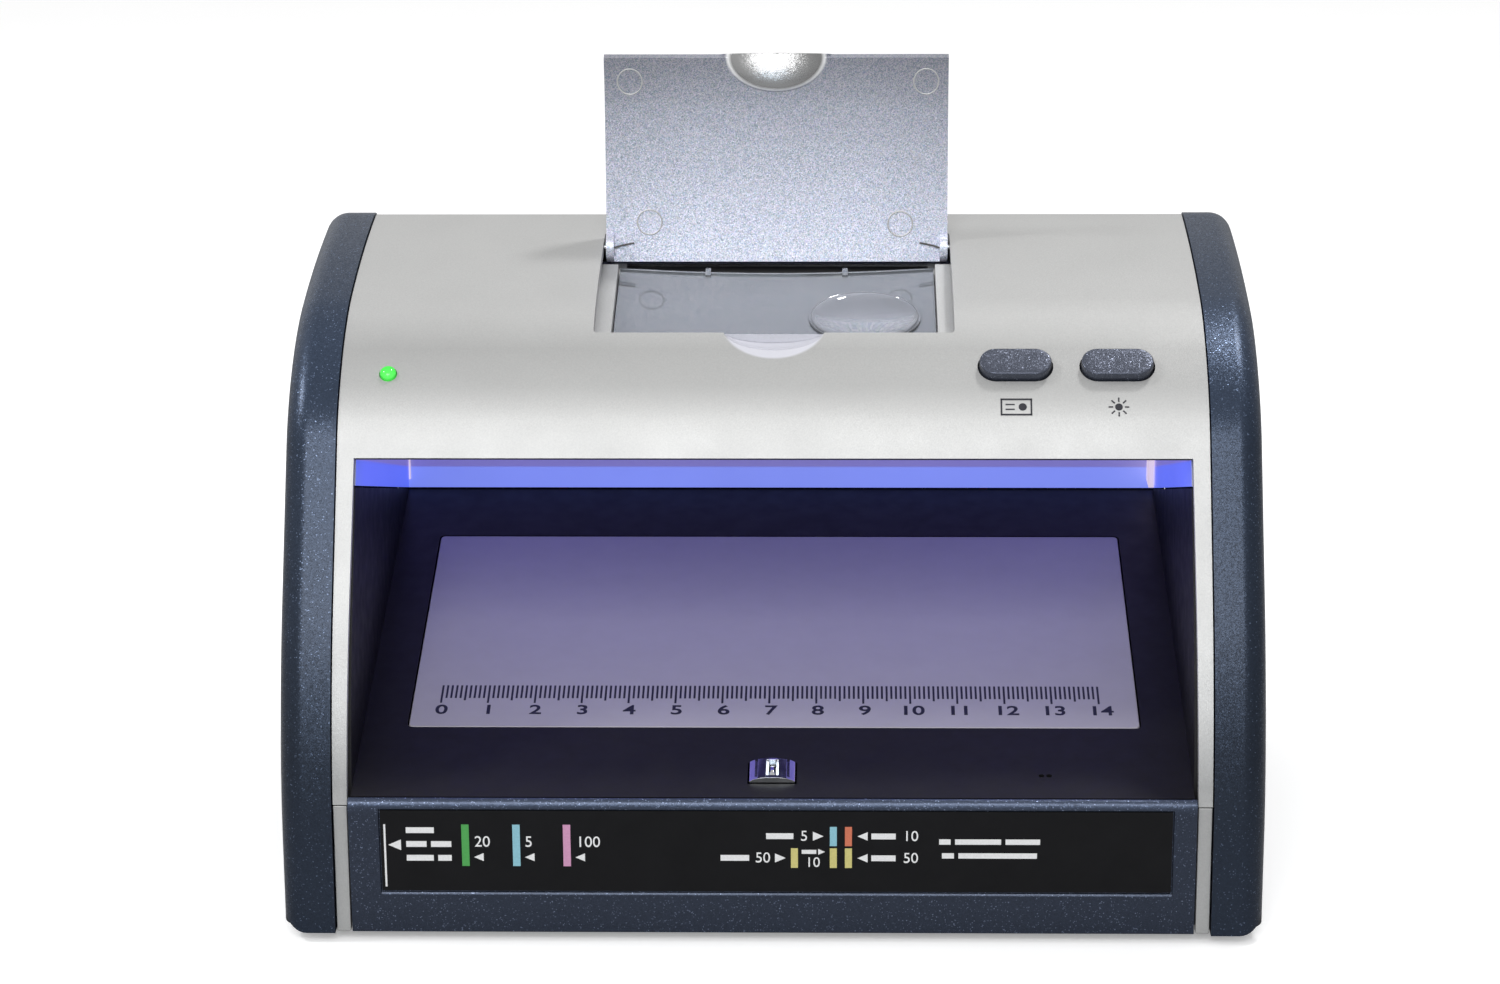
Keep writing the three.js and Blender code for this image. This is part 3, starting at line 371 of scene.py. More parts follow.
# ---- Materials ----
class Finish:
    """A node material around one Principled shader, its places measured in the CAD frame."""

    def __init__(self, name, colour, rough, metallic=0.0, **inputs):
        self.material = bpy.data.materials.new(name)
        self.material.use_nodes = True
        self.tree = self.material.node_tree
        self.shader = self.tree.nodes["Principled BSDF"]
        self.drive("Base Color", (*colour, 1))
        self.drive("Roughness", rough)
        self.drive("Metallic", metallic)
        for key, value in inputs.items():
            self.drive(key.replace("_", " "), value)
        self.place = self.node("TexCoord").outputs["Object"]

    def node(self, kind, settings=None, **inputs):
        """A new node, with settings for its properties and values or links for its inputs."""
        made = self.tree.nodes.new("ShaderNode" + kind)
        for key, value in (settings or {}).items():
            setattr(made, key, value)
        for key, value in inputs.items():
            self.feed(made.inputs[key.replace("_", " ")], value)
        return made

    def feed(self, socket, value):
        if isinstance(value, bpy.types.NodeSocket):
            self.tree.links.new(value, socket)
        else:
            socket.default_value = value

    def drive(self, socket, value):
        self.feed(self.shader.inputs[socket], value)

    def computed(self, kind, operation, values, result):
        made = self.node(kind, {"operation": operation})
        for socket, value in zip(made.inputs, values):
            self.feed(socket, value)
        return made.outputs[result]

    def number(self, operation, *values):
        return self.computed("Math", operation, values, "Value")

    def vector(self, operation, *values, result="Vector"):
        return self.computed("VectorMath", operation, values, result)

    def scaled(self, vector, factor):
        made = self.node("VectorMath", {"operation": "SCALE"}, Vector=vector, Scale=factor)
        return made.outputs["Vector"]

    def component(self, vector, axis):
        return self.node("SeparateXYZ", Vector=vector).outputs[axis]

    def world_normal(self):
        return self.node("NewGeometry").outputs["Normal"]

    def noise(self, size_mm, detail=2.0, place=None):
        """Noise whose features are about size_mm across, from 0 to 1."""
        return self.node("TexNoise", Vector=place or self.place, Scale=1 / (size_mm * MM),
                         Detail=detail).outputs["Fac"]

    def cells(self, size_mm):
        """Random colours in cells about size_mm across."""
        return self.node("TexVoronoi", Vector=self.place,
                         Scale=1 / (size_mm * MM)).outputs["Color"]

    def ranged(self, value, low_in, high_in, low_out, high_out):
        """A value mapped from one range to another, and held there."""
        mapped = self.node("MapRange", Value=value)
        for name, number in (("From Min", low_in), ("From Max", high_in),
                             ("To Min", low_out), ("To Max", high_out)):
            mapped.inputs[name].default_value = number
        return mapped.outputs["Result"]

    def patchy(self, size_mm, low, high, detail=2.0):
        """A value that wanders between low and high in patches about size_mm across."""
        return self.ranged(self.noise(size_mm, detail), 0.3, 0.7, low, high)

    def mixed(self, factor, a, b):
        mix = self.node("Mix", {"data_type": "RGBA"})
        self.feed(mix.inputs["Factor"], factor)
        for socket, value in ((mix.inputs[6], a), (mix.inputs[7], b)):
            self.feed(socket, (*value, 1) if isinstance(value, tuple) else value)
        return mix.outputs[2]

    def mottled(self, colour, darkest, lightest, size_mm, detail=2.0):
        """Drives the colour between two shares of itself."""
        dark, light = (tuple(min(1, c * share) for c in colour) for share in (darkest, lightest))
        self.drive("Base Color", self.mixed(self.patchy(size_mm, 0, 1, detail), dark, light))

    def near(self, centre, radii, start=0.94, end=1.0):
        """1 inside an ellipsoid of the CAD frame, fading to 0 between two shares of its radii."""
        spread = self.node("Mapping", {"vector_type": "TEXTURE"}, Vector=self.place,
                           Location=centre, Scale=radii)
        length = self.vector("LENGTH", spread.outputs["Vector"], result="Value")
        return self.ranged(length, start, end, 1, 0)

    def by_height(self, colour, stops):
        """A colour scaled by a factor that runs from stop to stop, each (height in mm, factor)."""
        tall = 150
        height = self.component(self.place, "Z")
        ramp = self.node("ValToRGB", Fac=self.ranged(height, 0, tall * MM, 0, 1))
        elements = ramp.color_ramp.elements
        elements.remove(elements[-1])
        for i, (z, factor) in enumerate(stops):
            element = elements.new(z / tall) if i else elements[0]
            element.position = z / tall
            element.color = (factor, factor, factor, 1)
        return self.vector("MULTIPLY", colour, ramp.outputs["Color"])

    def tilted(self, colours, amount, lean=(0, 0, 0)):
        """Normals turned at random, cell by cell, as flakes in a paint lie, and leant one way."""
        centred = self.vector("SUBTRACT", colours, (0.5, 0.5, 0.5))
        turned_at_random = self.vector("ADD", self.scaled(centred, amount), self.world_normal())
        self.drive("Normal", self.vector("NORMALIZE", self.vector("ADD", turned_at_random, lean)))


def silver_paint(name, stops):
    """Fine silver paint, with painted shade that shifts its tone with height as its stops give, and
    a painted highlight that lightens the finger scoop.
    """
    finish = Finish(name, (0.57, 0.57, 0.56), 0.46, 0.45)
    finish.tilted(finish.cells(0.12), 0.16)
    grain = finish.patchy(0.35, 0, 1, 3)
    tone = finish.mixed(grain, (0.545, 0.545, 0.54), (0.595, 0.595, 0.585))
    scoop = HOUSING @ Vector((0, SCOOP_Y, surface(SCOOP_Y)))
    # painted highlight: the finger scoop's colour is lightened
    painted_scoop_highlight = finish.near(scoop, (SCOOP_RX * MM, (SCOOP_RY + COVER_SCOOP[1]) * MM, 1))
    # painted shade: the tone is scaled by height from stop to stop
    shaded = finish.by_height(tone, stops)
    finish.drive("Base Color", finish.mixed(painted_scoop_highlight, shaded, (0.58, 0.58, 0.63)))
    finish.drive("Roughness", finish.patchy(14, 0.50, 0.57, 3))
    return finish.material


def slate(name, colour, share, size, stops=((0, 1),)):
    """Slate-blue plastic with fine metal flakes, a share of them catching the light."""
    finish = Finish(name, colour, 0.32, 0.6, Specular_IOR_Level=0.3, Coat_Weight=0.2,
                    Coat_Roughness=0.3)
    flakes = finish.cells(size)
    tone = finish.node("SeparateColor", Color=flakes)
    glint = finish.ranged(tone.outputs["Red"], 1 - share, 1.0, 0.0, 0.8)
    base = finish.mixed(tone.outputs["Green"], tuple(c * 0.82 for c in colour),
                        tuple(c * 1.2 for c in colour))
    bright = tuple(min(1, c * 5 + 0.10) for c in colour)
    finish.drive("Base Color", finish.by_height(finish.mixed(glint, base, bright), stops))
    finish.tilted(flakes, 0.2)
    return finish.material


def lid_flake():
    """The lid's bluish silver flake with painted shade, darker away from the hinge and at its sides,
    glossy on its finger boss with a painted bright ring round it.
    """
    finish = Finish("lid_flake", (0.5, 0.52, 0.6), 0.42, 0.4)
    flakes = finish.cells(0.18)
    tone = finish.node("SeparateColor", Color=flakes).outputs["Red"]
    speck = finish.mixed(tone, (0.33, 0.35, 0.45), (0.76, 0.78, 0.88))
    speck = finish.mixed(0.12, speck, flakes)
    low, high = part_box("window_lid")
    # painted shade: darker away from the hinge, and darker towards the sides
    painted_shade_by_height = finish.ranged(finish.component(finish.place, "Z"), low.z, high.z, 1.48, 0.58)
    middle = finish.near((0, 0, 0), (LID_HALF * MM, 1, 1), 0.5, 1.0)
    painted_shade = finish.number("MULTIPLY", painted_shade_by_height, finish.ranged(middle, 0, 1, 0.84, 0.97))

    boss = LID @ Vector((0, SCOOP_Y - HINGE.y, surface(SCOOP_Y) - HINGE.z))
    radii = (10.4 * MM, 1, 7.4 * MM)
    facing = finish.component(finish.node("TexCoord").outputs["Normal"], "Y")
    inner_side = finish.ranged(facing, -0.1, 0.1, 1, 0)
    gloss = finish.number("MULTIPLY", finish.near(boss, radii), inner_side)
    # painted highlight: a bright ring round the boss on the lid's inner side
    rim = finish.number("MULTIPLY", finish.near(boss, radii, 1.02, 1.07), inner_side)
    plate = finish.mixed(rim, finish.scaled(speck, painted_shade), (0.98, 0.98, 0.98))
    finish.drive("Base Color", finish.mixed(gloss, plate, (0.34, 0.34, 0.34)))
    finish.drive("Roughness", finish.ranged(gloss, 0, 1, 0.42, 0.26))
    finish.drive("Metallic", finish.ranged(gloss, 0, 1, 0.4, 0.75))
    lean = finish.scaled((0, 0, 0.46), gloss)
    finish.tilted(flakes, finish.ranged(gloss, 0, 1, 0.22, 0.12), lean)
    return finish.material


def liner_white():
    """White lining with the UV lamp's light painted on as a blue glow, on the side that faces the
    lamp only, duller in a painted shadow.
    """
    finish = Finish("liner_white", (0.40, 0.42, 0.55), 0.5)
    normal = finish.world_normal()
    inward = finish.vector("SUBTRACT", HOUSING @ Vector(CHAMBER_MIDDLE), finish.place)
    facing = finish.vector("DOT_PRODUCT", inward, normal, result="Value")
    lit = finish.number("GREATER_THAN", facing, 0)
    sideways = finish.number("ABSOLUTE", finish.component(normal, "X"))
    # painted light: the lamp's light laid on as emission, stronger on the back wall than on the side
    # walls
    painted_uv_light = finish.mixed(sideways, (0.16, 0.23, 0.88), (0.055, 0.11, 0.86))
    above = finish.vector("SUBTRACT", finish.place, HOUSING @ Vector(LINER_SHADOW))
    height = finish.vector("DOT_PRODUCT", above, (0, LINER_SHADOW_FALL, 1), result="Value")
    shadow = finish.ranged(height, -0.2 * MM, 0.2 * MM, 0.0, 1.0)
    finish.drive("Emission Color", finish.mixed(shadow, painted_uv_light, (0.135, 0.105, 0.40)))
    level = finish.patchy(25, 0.72, 0.80)
    finish.drive("Emission Strength", finish.number("MULTIPLY", level, lit))
    return finish.material


def clear_plastic(name, colour, coat_rough, patch_mm, detail=2.0):
    """Glossy clear plastic, slightly uneven in its polish."""
    finish = Finish(name, colour, 0.05, Transmission_Weight=0.25, IOR=1.49, Coat_Weight=1.0,
                    Coat_Roughness=coat_rough)
    finish.drive("Roughness", finish.patchy(patch_mm, 0.05, 0.08, detail))
    return finish


def lens_plastic():
    """Clear plastic whose curved underside, not its top, gives the sharp reflections."""
    finish = clear_plastic("lens_clear", (0.195, 0.205, 0.23), 0.03, 5)
    plane = TOP.to_3x3() @ Vector((0, 0, 1))
    plane.normalize()
    depth = 4
    turned_in = finish.vector("MULTIPLY_ADD", finish.world_normal(), (-depth, -depth, -depth),
                              plane * (1 + depth))
    finish.drive("Coat Normal", finish.vector("NORMALIZE", turned_in))
    return finish.material


def moulded(name, colour, rough, grain_mm=0.25, depth_mm=0.02, mottle=0.09, **inputs):
    """Plain moulded plastic or rubber with a fine spark-eroded grain."""
    finish = Finish(name, colour, rough, **inputs)
    finish.mottled(colour, 1 - mottle, 1 + mottle, 6, 3)
    finish.drive("Roughness", finish.patchy(4, rough - 0.05, rough + 0.06))
    grain = finish.node("Bump", Height=finish.noise(grain_mm), Strength=0.35,
                        Distance=depth_mm * MM)
    finish.drive("Normal", grain.outputs["Normal"])
    return finish.material


def bare_metal(name, colour, rough, streak=0.0):
    """Metal with a fine drawn or polished grain along X."""
    finish = Finish(name, colour, rough, 1.0)
    stretch = finish.node("Mapping", Vector=finish.place, Scale=(0.08, 1, 1))
    lines = finish.noise(0.12, 2, stretch.outputs["Vector"])
    finish.drive("Roughness", finish.ranged(lines, 0.3, 0.7, rough * 0.8, rough * 1.3))
    if streak:
        grain = finish.node("Bump", Height=lines, Strength=streak, Distance=0.01 * MM)
        finish.drive("Normal", grain.outputs["Normal"])
    return finish.material


def printed(name, colour):
    """Screen-printed ink."""
    finish = Finish(name, colour, 0.5)
    finish.mottled(colour, 0.93, 1.04, 0.4)
    return finish.material


def circuit_green():
    """A circuit board's lacquer over its copper tracks."""
    finish = Finish("circuit_green", (0.02, 0.16, 0.07), 0.35)
    tracks = finish.node(
        "TexBrick", Vector=finish.place, Scale=1 / (3 * MM), Color1=(0.015, 0.13, 0.06, 1),
        Color2=(0.02, 0.17, 0.08, 1), Mortar=(0.05, 0.28, 0.12, 1),
    )
    finish.drive("Base Color", tracks.outputs["Color"])
    return finish.material


def glowing(name, colour, strength, rough=0.3, rim=1.0):
    """A lamp's lens, its rim glowing at a share of its middle's strength."""
    finish = Finish(name, colour, rough)
    facing = finish.node("LayerWeight", Blend=0.5).outputs["Facing"]
    core = tuple(min(1, c + 0.2 * (1 - rim)) for c in colour)
    finish.drive("Emission Color", finish.mixed(facing, core, colour))
    finish.drive("Emission Strength", finish.ranged(facing, 0.1, 0.8, strength, strength * rim))
    finish.drive("Roughness", finish.patchy(6, rough, rough + 0.04, 1))
    return finish.material


SILVER = silver_paint("silver_paint", [(0, 1)])
# cover_silver: painted shade by height, darker at the bottom, just above 30 mm and over the shoulder
# at 110 to 116 mm
COVER_SILVER = silver_paint("cover_silver", [
    (0, 0.80), (30, 0.80), (34, 0.67), (50, 0.98), (98, 0.95), (104, 0.97), (110, 0.73), (116, 0.66),
    (121, 0.84), (125, 0.88),
])
SLATE = slate("slate_flake", (0.032, 0.042, 0.067), 0.05, 0.2)
# cap_flake: painted shade by height, darkest around 39 mm and lightest near the top
CAP_SLATE = slate("cap_flake", (0.040, 0.060, 0.103), 0.04, 0.2, [
    (0, 0.48), (19, 0.46), (39, 0.36), (69, 0.50), (99, 0.60), (117, 0.90), (127, 0.88),
])
# fascia_flake: painted highlight, lighter towards the lip's top; the face below 29 mm gets 0.62 of
# the colour
FASCIA_SLATE = slate("fascia_flake", (0.052, 0.068, 0.109), 0.05, 0.2, [(29, 0.62), (30.5, 1)])
BUTTON_SLATE = slate("button_flake", (0.072, 0.081, 0.110), 0.03, 0.15)
FLAKE = lid_flake()
TRAY_BLACK = moulded("tray_black", (0.010, 0.0095, 0.0105), 0.48, Specular_IOR_Level=0.2)
LABEL_BLACK = moulded("label_black", (0.008, 0.008, 0.009), 0.6, 0.6, 0.01,
                      Specular_IOR_Level=0.12)
BLACK = moulded("black_plastic", (0.012, 0.012, 0.013), 0.5)
WHITE = liner_white()
OPAL = moulded("opal_panel", (0.355, 0.338, 0.380), 0.45, 0.5, 0.005, 0.02)
RUBBER = moulded("foot_rubber", (0.018, 0.018, 0.018), 0.85, 0.5, 0.05)
CHROME = bare_metal("polished_chrome", (0.78, 0.79, 0.80), 0.12)
STEEL = bare_metal("plain_steel", (0.50, 0.51, 0.52), 0.33, 0.2)
SPRING_STEEL = bare_metal("spring_steel", (0.16, 0.15, 0.14), 0.3)
BRASS = bare_metal("bright_brass", (0.72, 0.50, 0.20), 0.25)
BOARD = circuit_green()
PANE = clear_plastic("window_clear", (0.175, 0.19, 0.21), 0.02, 8, 3).material
LENS = lens_plastic()
CABLE = moulded("cable_red", (0.25, 0.02, 0.02), 0.5)
LED_GREEN = glowing("lamp_green", (0.02, 0.60, 0.03), 0.72, 0.08, 0.35)
# liner_rib: painted light, a pale glow on seams that are no lamp
RIB_PAINTED_GLOW = glowing("liner_rib", (0.72, 0.60, 0.62), 0.75, 0.5)
UV_GLOW = glowing("uv_glow", (0.16, 0.14, 1.0), 1.7)
INK_WHITE = printed("ink_white", (0.80, 0.80, 0.80))
INK_BLACK = printed("ink_black", (0.012, 0.012, 0.02))
INK_GREEN = printed("ink_green", (0.07, 0.36, 0.08))
INK_BLUE = printed("ink_blue", (0.26, 0.53, 0.62))
INK_PINK = printed("ink_pink", (0.62, 0.30, 0.48))
INK_ORANGE = printed("ink_orange", (0.62, 0.17, 0.09))
INK_YELLOW = printed("ink_yellow", (0.62, 0.56, 0.20))


# ---- Housing ----
def scoop_tool(grow_x=0.0, grow_y=0.0, grow_z=0.0):
    """The finger scoop's tilted ellipsoid, at the meeting of cover and lid."""
    bm = bmesh.new()
    bmesh.ops.create_uvsphere(bm, u_segments=96, v_segments=48, radius=1)
    radii = (SCOOP_RX + grow_x, SCOOP_RY + grow_y, SCOOP_DEPTH + grow_z)
    moved(bm, Matrix.Diagonal((*radii, 1)))
    return moved(bm, Matrix.Translation((0, SCOOP_Y, surface(SCOOP_Y)))
                 @ Matrix.Rotation(SCOOP_TILT, 4, "X"))


def middle_x(node):
    """Where a node's middle lies across the housing."""
    low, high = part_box(node)
    return (low.x + high.x) / 2 / MM


BUTTONS = {name: middle_x(name) for name in ("watermark_button", "uv_button")}
LED_X = middle_x("status_led")


def top_cover():
    """The silver hood, cut for the window, the buttons, the lamp and the chamber."""
    inner = offset(OUTLINE, -WALL)
    band = sweep_x([*OUTLINE, *reversed(inner)], -COVER_HALF, COVER_HALF)
    shoulder = HOUSING.inverted() @ SHOULDER
    reach = COVER_HALF + 5
    tools = [
        raise_z(rounded_rect(-WINDOW_HALF, WINDOW_HALF, WINDOW_FRONT, WINDOW_BACK, 0.8), 100, 140),
        loft([[Vector((s * half, y, z)) for s, half, z in (
            (-1, OPENING_HALF, SEAM_Z - 5), (1, OPENING_HALF, SEAM_Z - 5),
            (1, OPENING_TOP_HALF, HOOD_LIP_Z), (-1, OPENING_TOP_HALF, HOOD_LIP_Z),
        )] for y in (-5, 55)]),
        box(-reach, reach, -5, 60, -5, SEAM_Z),
        box(-reach, reach, 90, BODY_DEPTH + 5, -5, REAR_SEAM_Z),
        scoop_tool(*COVER_SCOOP),
        moved(post(LED_X, LED_Y, LED_R + 0.2, -8, 8), shoulder),
    ]
    for x in BUTTONS.values():
        hole = raise_z(pill_outline(BUTTON_W + 0.8, BUTTON_H + 0.8), -8, 8)
        tools.append(moved(hole, shoulder @ Matrix.Translation((x, 0, 0))))
    piece("cover_shell", combined(band, tools), HOUSING, COVER_SILVER, ["top_cover"],
          0.4)


def hood_lining():
    """A black strip behind the hood's lower edge, painted shade that shows as a dark line below it.
    """
    edge = next(p for p in OUTLINE if p.y > HOOD_LIP_Z)
    strip = box(-CHAMBER_HALF, CHAMBER_HALF, edge.x + 0.9, edge.x + 1.7, HOOD_LIP_Z - 0.65,
                HOOD_LIP_Z + 2)
    piece("hood_lining", strip, HOUSING, BLACK, rounding=0.1)


def side_cap(side, name):
    """A slate side cap, its outer edge rounded, hollow from the inside."""
    outline = offset(OUTLINE, CAP_PROUD)
    outline[0].y = outline[-1].y = 0
    outline.reverse()
    cavity = offset(outline, WALL + CAP_PROUD, closed=True)
    rings = []
    for sine, cosine in reversed(quarter_turn(10)):
        ring = offset(outline, CAP_ROUND * (1 - cosine), closed=True)
        rings.append((HALF_WIDTH - CAP_ROUND * (1 - sine), ring))
    rings += [(CAP_INNER, outline), (CAP_INNER, cavity), (HALF_WIDTH - 2.6, cavity)]
    shell = loft([[Vector((side * x, p.x, p.y)) for p in ring] for x, ring in rings])
    piece(name + "_shell", shell, HOUSING, CAP_SLATE, [name], 0.3)


def trim_strip(side, name):
    """The narrow silver strip beside the fascia."""
    x0, x1 = sorted((side * OPENING_HALF, side * COVER_HALF))
    strip = box(x0, x1, 0.6, 3.0, 0.1, SEAM_Z - GAP)
    piece(name + "_bar", strip, HOUSING, COVER_SILVER, [name], 0.2)


def fascia_face(z):
    """Depth of the fascia's front face at a height."""
    return FASCIA_LEAN * (1 - z / FASCIA_CORNER) - LIP_OUT


def front_fascia():
    """The slate front with its rounded lip and the label's shallow recess."""
    half = OPENING_HALF - GAP
    back = TRAY_FRONT * math.cos(TRAY_SLOPE) - LIP_OUT
    back_z = FASCIA_TOP + TRAY_FRONT * math.sin(TRAY_SLOPE)
    inside = fascia_face(0) + WALL
    lip = bezier_points([(-LIP_OUT, FASCIA_CORNER), (-LIP_OUT, FASCIA_TOP), (back, back_z)], 10)
    outline = [Vector((fascia_face(0), 0)), *lip, Vector((back, back_z - WALL)),
               Vector((inside, FASCIA_TOP - 3)), Vector((inside, 0))]
    recess = sweep_x([
        (-5, LABEL_LOW - 0.6), (fascia_face(LABEL_LOW) - 0.02, LABEL_LOW - 0.6),
        (fascia_face(LABEL_LOW) + 0.3, LABEL_LOW - 0.02), (fascia_face(LABEL_LOW) + 0.6, LABEL_LOW),
        (fascia_face(LABEL_HIGH) + 0.6, LABEL_HIGH), (-5, LABEL_HIGH),
    ], LABEL_LEFT - GAP, LABEL_RIGHT + GAP)
    piece("fascia_shell", combined(sweep_x(outline, -half, half), [recess]), HOUSING,
          FASCIA_SLATE, ["front_fascia"], 0.28)


# ---- The printed label on the fascia ----
LABEL_FACE = 0.15  # how deep the label's face lies behind the fascia's face
LABEL_SHIFT = 0.25  # the print sits this far to the right on its plate


def label_mark(outline, thick=0.03):
    """A printed mark on the label: an (X, Z) outline with its height measured up the face."""
    back = [Vector((x + LABEL_SHIFT, fascia_face(z) + LABEL_FACE, z)) for x, z in outline]
    front = [v - Vector((0, thick, 0)) for v in back]
    return loft([front, back])


def bar(x0, x1, z0, z1):
    return label_mark([(x0, z0), (x1, z0), (x1, z1), (x0, z1)])


def arrow(x, z, size, towards):
    """A small triangle pointing left (-1) or right (1)."""
    tip = x + towards * size * 0.55
    tail = x - towards * size * 0.55
    return label_mark([(tip, z), (tail, z - size / 2), (tail, z + size / 2)])


def greeked(x0, x1, z, height, words):
    """A line of text as plain bars, one to a word."""
    gap = 0.9
    width = (x1 - x0 - gap * (len(words) - 1)) / sum(words)
    marks = []
    x = x0
    for letters in words:
        marks.append(bar(x, x + letters * width, z - height / 2, z + height / 2))
        x += letters * width + gap
    return marks


DIGIT_TALL = 0.69  # a digit's height as a share of the built-in font's size


def numeral(text, height, thick=0.03, bolder=0.0):
    """A number as a thin solid standing on the XY plane's origin, its digits height tall."""
    curve = bpy.data.curves.new("numeral", "FONT")
    curve.body = text
    curve.align_x = "CENTER"
    curve.align_y = "CENTER"
    curve.extrude = thick / 2
    curve.size = height / DIGIT_TALL
    curve.offset = bolder
    holder = linked("numeral", curve)
    bpy.context.view_layer.update()
    bm = evaluated(holder)
    bpy.data.objects.remove(holder)
    bpy.data.curves.remove(curve)
    return moved(bm, Matrix.Translation((0, 0, thick / 2)))


def label_numeral(text, x, z, height):
    """A number printed upright on the label."""
    face = fascia_face(z - height) + LABEL_FACE
    upright = Matrix.Translation((x + LABEL_SHIFT, face, z)) @ Matrix.Rotation(math.pi / 2, 4, "X")
    return moved(numeral(text, height, 0.25), upright)


def fascia_label():
    """The black label: bars for text, and coloured bars for a note's thread."""
    back = 0.5
    plate = sweep_x([
        (fascia_face(LABEL_LOW) + LABEL_FACE, LABEL_LOW + GAP),
        (fascia_face(LABEL_LOW) + back, LABEL_LOW + GAP),
        (fascia_face(LABEL_HIGH) + back, LABEL_HIGH - GAP),
        (fascia_face(LABEL_HIGH) + LABEL_FACE, LABEL_HIGH - GAP),
    ], LABEL_LEFT, LABEL_RIGHT)
    piece("label_plate", plate, HOUSING, LABEL_BLACK, ["fascia_label"])

    upper, lower = 21.8, 16.9
    texts = [
        (-75.5, -69.7, 22.9, 1.3, [5]), (-75.5, -66.2, 19.8, 1.3, [4, 4]),
        (-75.5, -66.2, 16.7, 1.3, [4, 2]), (-1.4, 4.2, upper, 1.3, [3]),
        (-10.8, -4.9, lower, 1.3, [3]), (5.9, 8.9, 18.3, 0.9, [3]),
        (20.2, 25.2, upper, 1.3, [3]), (20.2, 25.2, lower, 1.3, [3]),
        (34.1, 54.8, 20.6, 1.2, [2, 8, 6]), (34.7, 54.2, 17.5, 1.2, [2, 13]),
    ]
    numbers = [
        ("5", 6.4, upper, 2.2), ("50", -2.1, lower, 2.2), ("10", 8.2, 15.9, 2.1),
        ("10", 28.3, upper, 2.2), ("50", 28.3, lower, 2.2),
    ]
    arrows = [
        (-77.9, 19.6, 2.4, -1), (9.3, upper, 2.0, 1), (1.5, lower, 2.0, 1),
        (10.0, 18.3, 1.3, 1), (18.4, upper, 1.9, -1), (18.4, lower, 1.9, -1),
    ]
    for x, ink, value in ((-63.3, INK_GREEN, "20"), (-52.8, INK_BLUE, "5"),
                          (-42.4, INK_PINK, "100")):
        piece("label_thread_" + value, bar(x - 0.77, x + 0.77, 14.9, 24.2), HOUSING, ink)
        numbers.append((value, x + 1.6 + 0.95 * len(value), 20.3, 2.3))
        arrows.append((x + 2.7, 16.9, 1.8, -1))
    white = [bar(-80.1, -79.7, 10.2, 24.2)]
    white += [word for text in texts for word in greeked(*text)]
    white += [label_numeral(*number) for number in numbers]
    white += [arrow(*place) for place in arrows]
    piece("label_print", merged(white), HOUSING, INK_WHITE)
    tags = [
        ("blue", 12.4, 19.6, 23.9, INK_BLUE), ("orange", 15.5, 19.6, 23.9, INK_ORANGE),
        ("left", 4.4, 14.7, 19.1, INK_YELLOW), ("mid", 12.4, 14.7, 19.1, INK_YELLOW),
        ("right", 15.5, 14.7, 19.1, INK_YELLOW),
    ]
    for tag, x, z0, z1, ink in tags:
        piece("label_tag_" + tag, bar(x - 0.72, x + 0.72, z0, z1), HOUSING, ink)


# ---- Chamber ----
TRAY_BACK = Vector((
    TRAY_LENGTH * math.cos(TRAY_SLOPE) - LIP_OUT, TRAY_LENGTH * math.sin(TRAY_SLOPE) + FASCIA_TOP,
))
WALL_FRONT = Vector((25.9, 88.6))  # front end of the line between dark tray and white liner


def bill_tray():
    """The sloping tray and the chamber's dark walls."""
    outer = CHAMBER_HALF + LINER_WALL
    clear = TRAY_FRONT + GAP + 3
    tongue = box(-CHAMBER_HALF, CHAMBER_HALF, TRAY_FRONT + GAP, clear + 1, -WALL, 0)
    floor = combined(box(-outer, outer, clear, TRAY_LENGTH, -WALL, 0), [tongue], "UNION")
    in_housing = HOUSING.inverted() @ TRAY
    floor = moved(floor, in_housing)
    front = [p for p in offset(OUTLINE, -WALL - GAP) if 31.5 < p.y < 88 and p.x < 60]
    start = front[0].x + LIP_OUT
    wall = [*front, WALL_FRONT, TRAY_BACK, TRAY_BACK - Vector((0, WALL)),
            Vector((front[0].x, FASCIA_TOP + start * math.tan(TRAY_SLOPE) - 2.0))]
    walls = [sweep_x(wall, *sorted((s * CHAMBER_HALF, s * outer))) for s in (-1, 1)]
    tools = [
        raise_z(rounded_rect(-PANEL_HALF - GAP, PANEL_HALF + GAP, PANEL_FRONT - GAP,
                             PANEL_BACK + GAP, 1.2), -9, 9),
        box(-HEAD_HALF - 0.4, HEAD_HALF + 0.4, HEAD_AT - HEAD_DEPTH / 2 - 0.3,
            HEAD_AT + HEAD_DEPTH / 2 + 0.4, -9, 9),
        *[post(SENSOR_X + s * SENSOR_SPACING / 2, SENSOR_AT, SENSOR_R, -9, 9) for s in (-1, 1)],
    ]
    tools = [moved(tool, in_housing) for tool in tools]
    piece("tray_shell", combined(combined(floor, walls, "UNION"), tools), HOUSING, TRAY_BLACK,
          ["bill_tray"])


def liner_ribs():
    """The seams in the liner's rear corners, the right one standing forward, both glowing pale as
    painted light.
    """
    for name, x0, x1, y0 in (("right", 85.1, 86.4, 118.5), ("left", -86.5, -86.1, 124.9)):
        rib = box(x0, x1, y0, 125.3, 62.3, 90)
        piece(f"liner_rib_{name}", rib, HOUSING, RIB_PAINTED_GLOW, rounding=0.15)


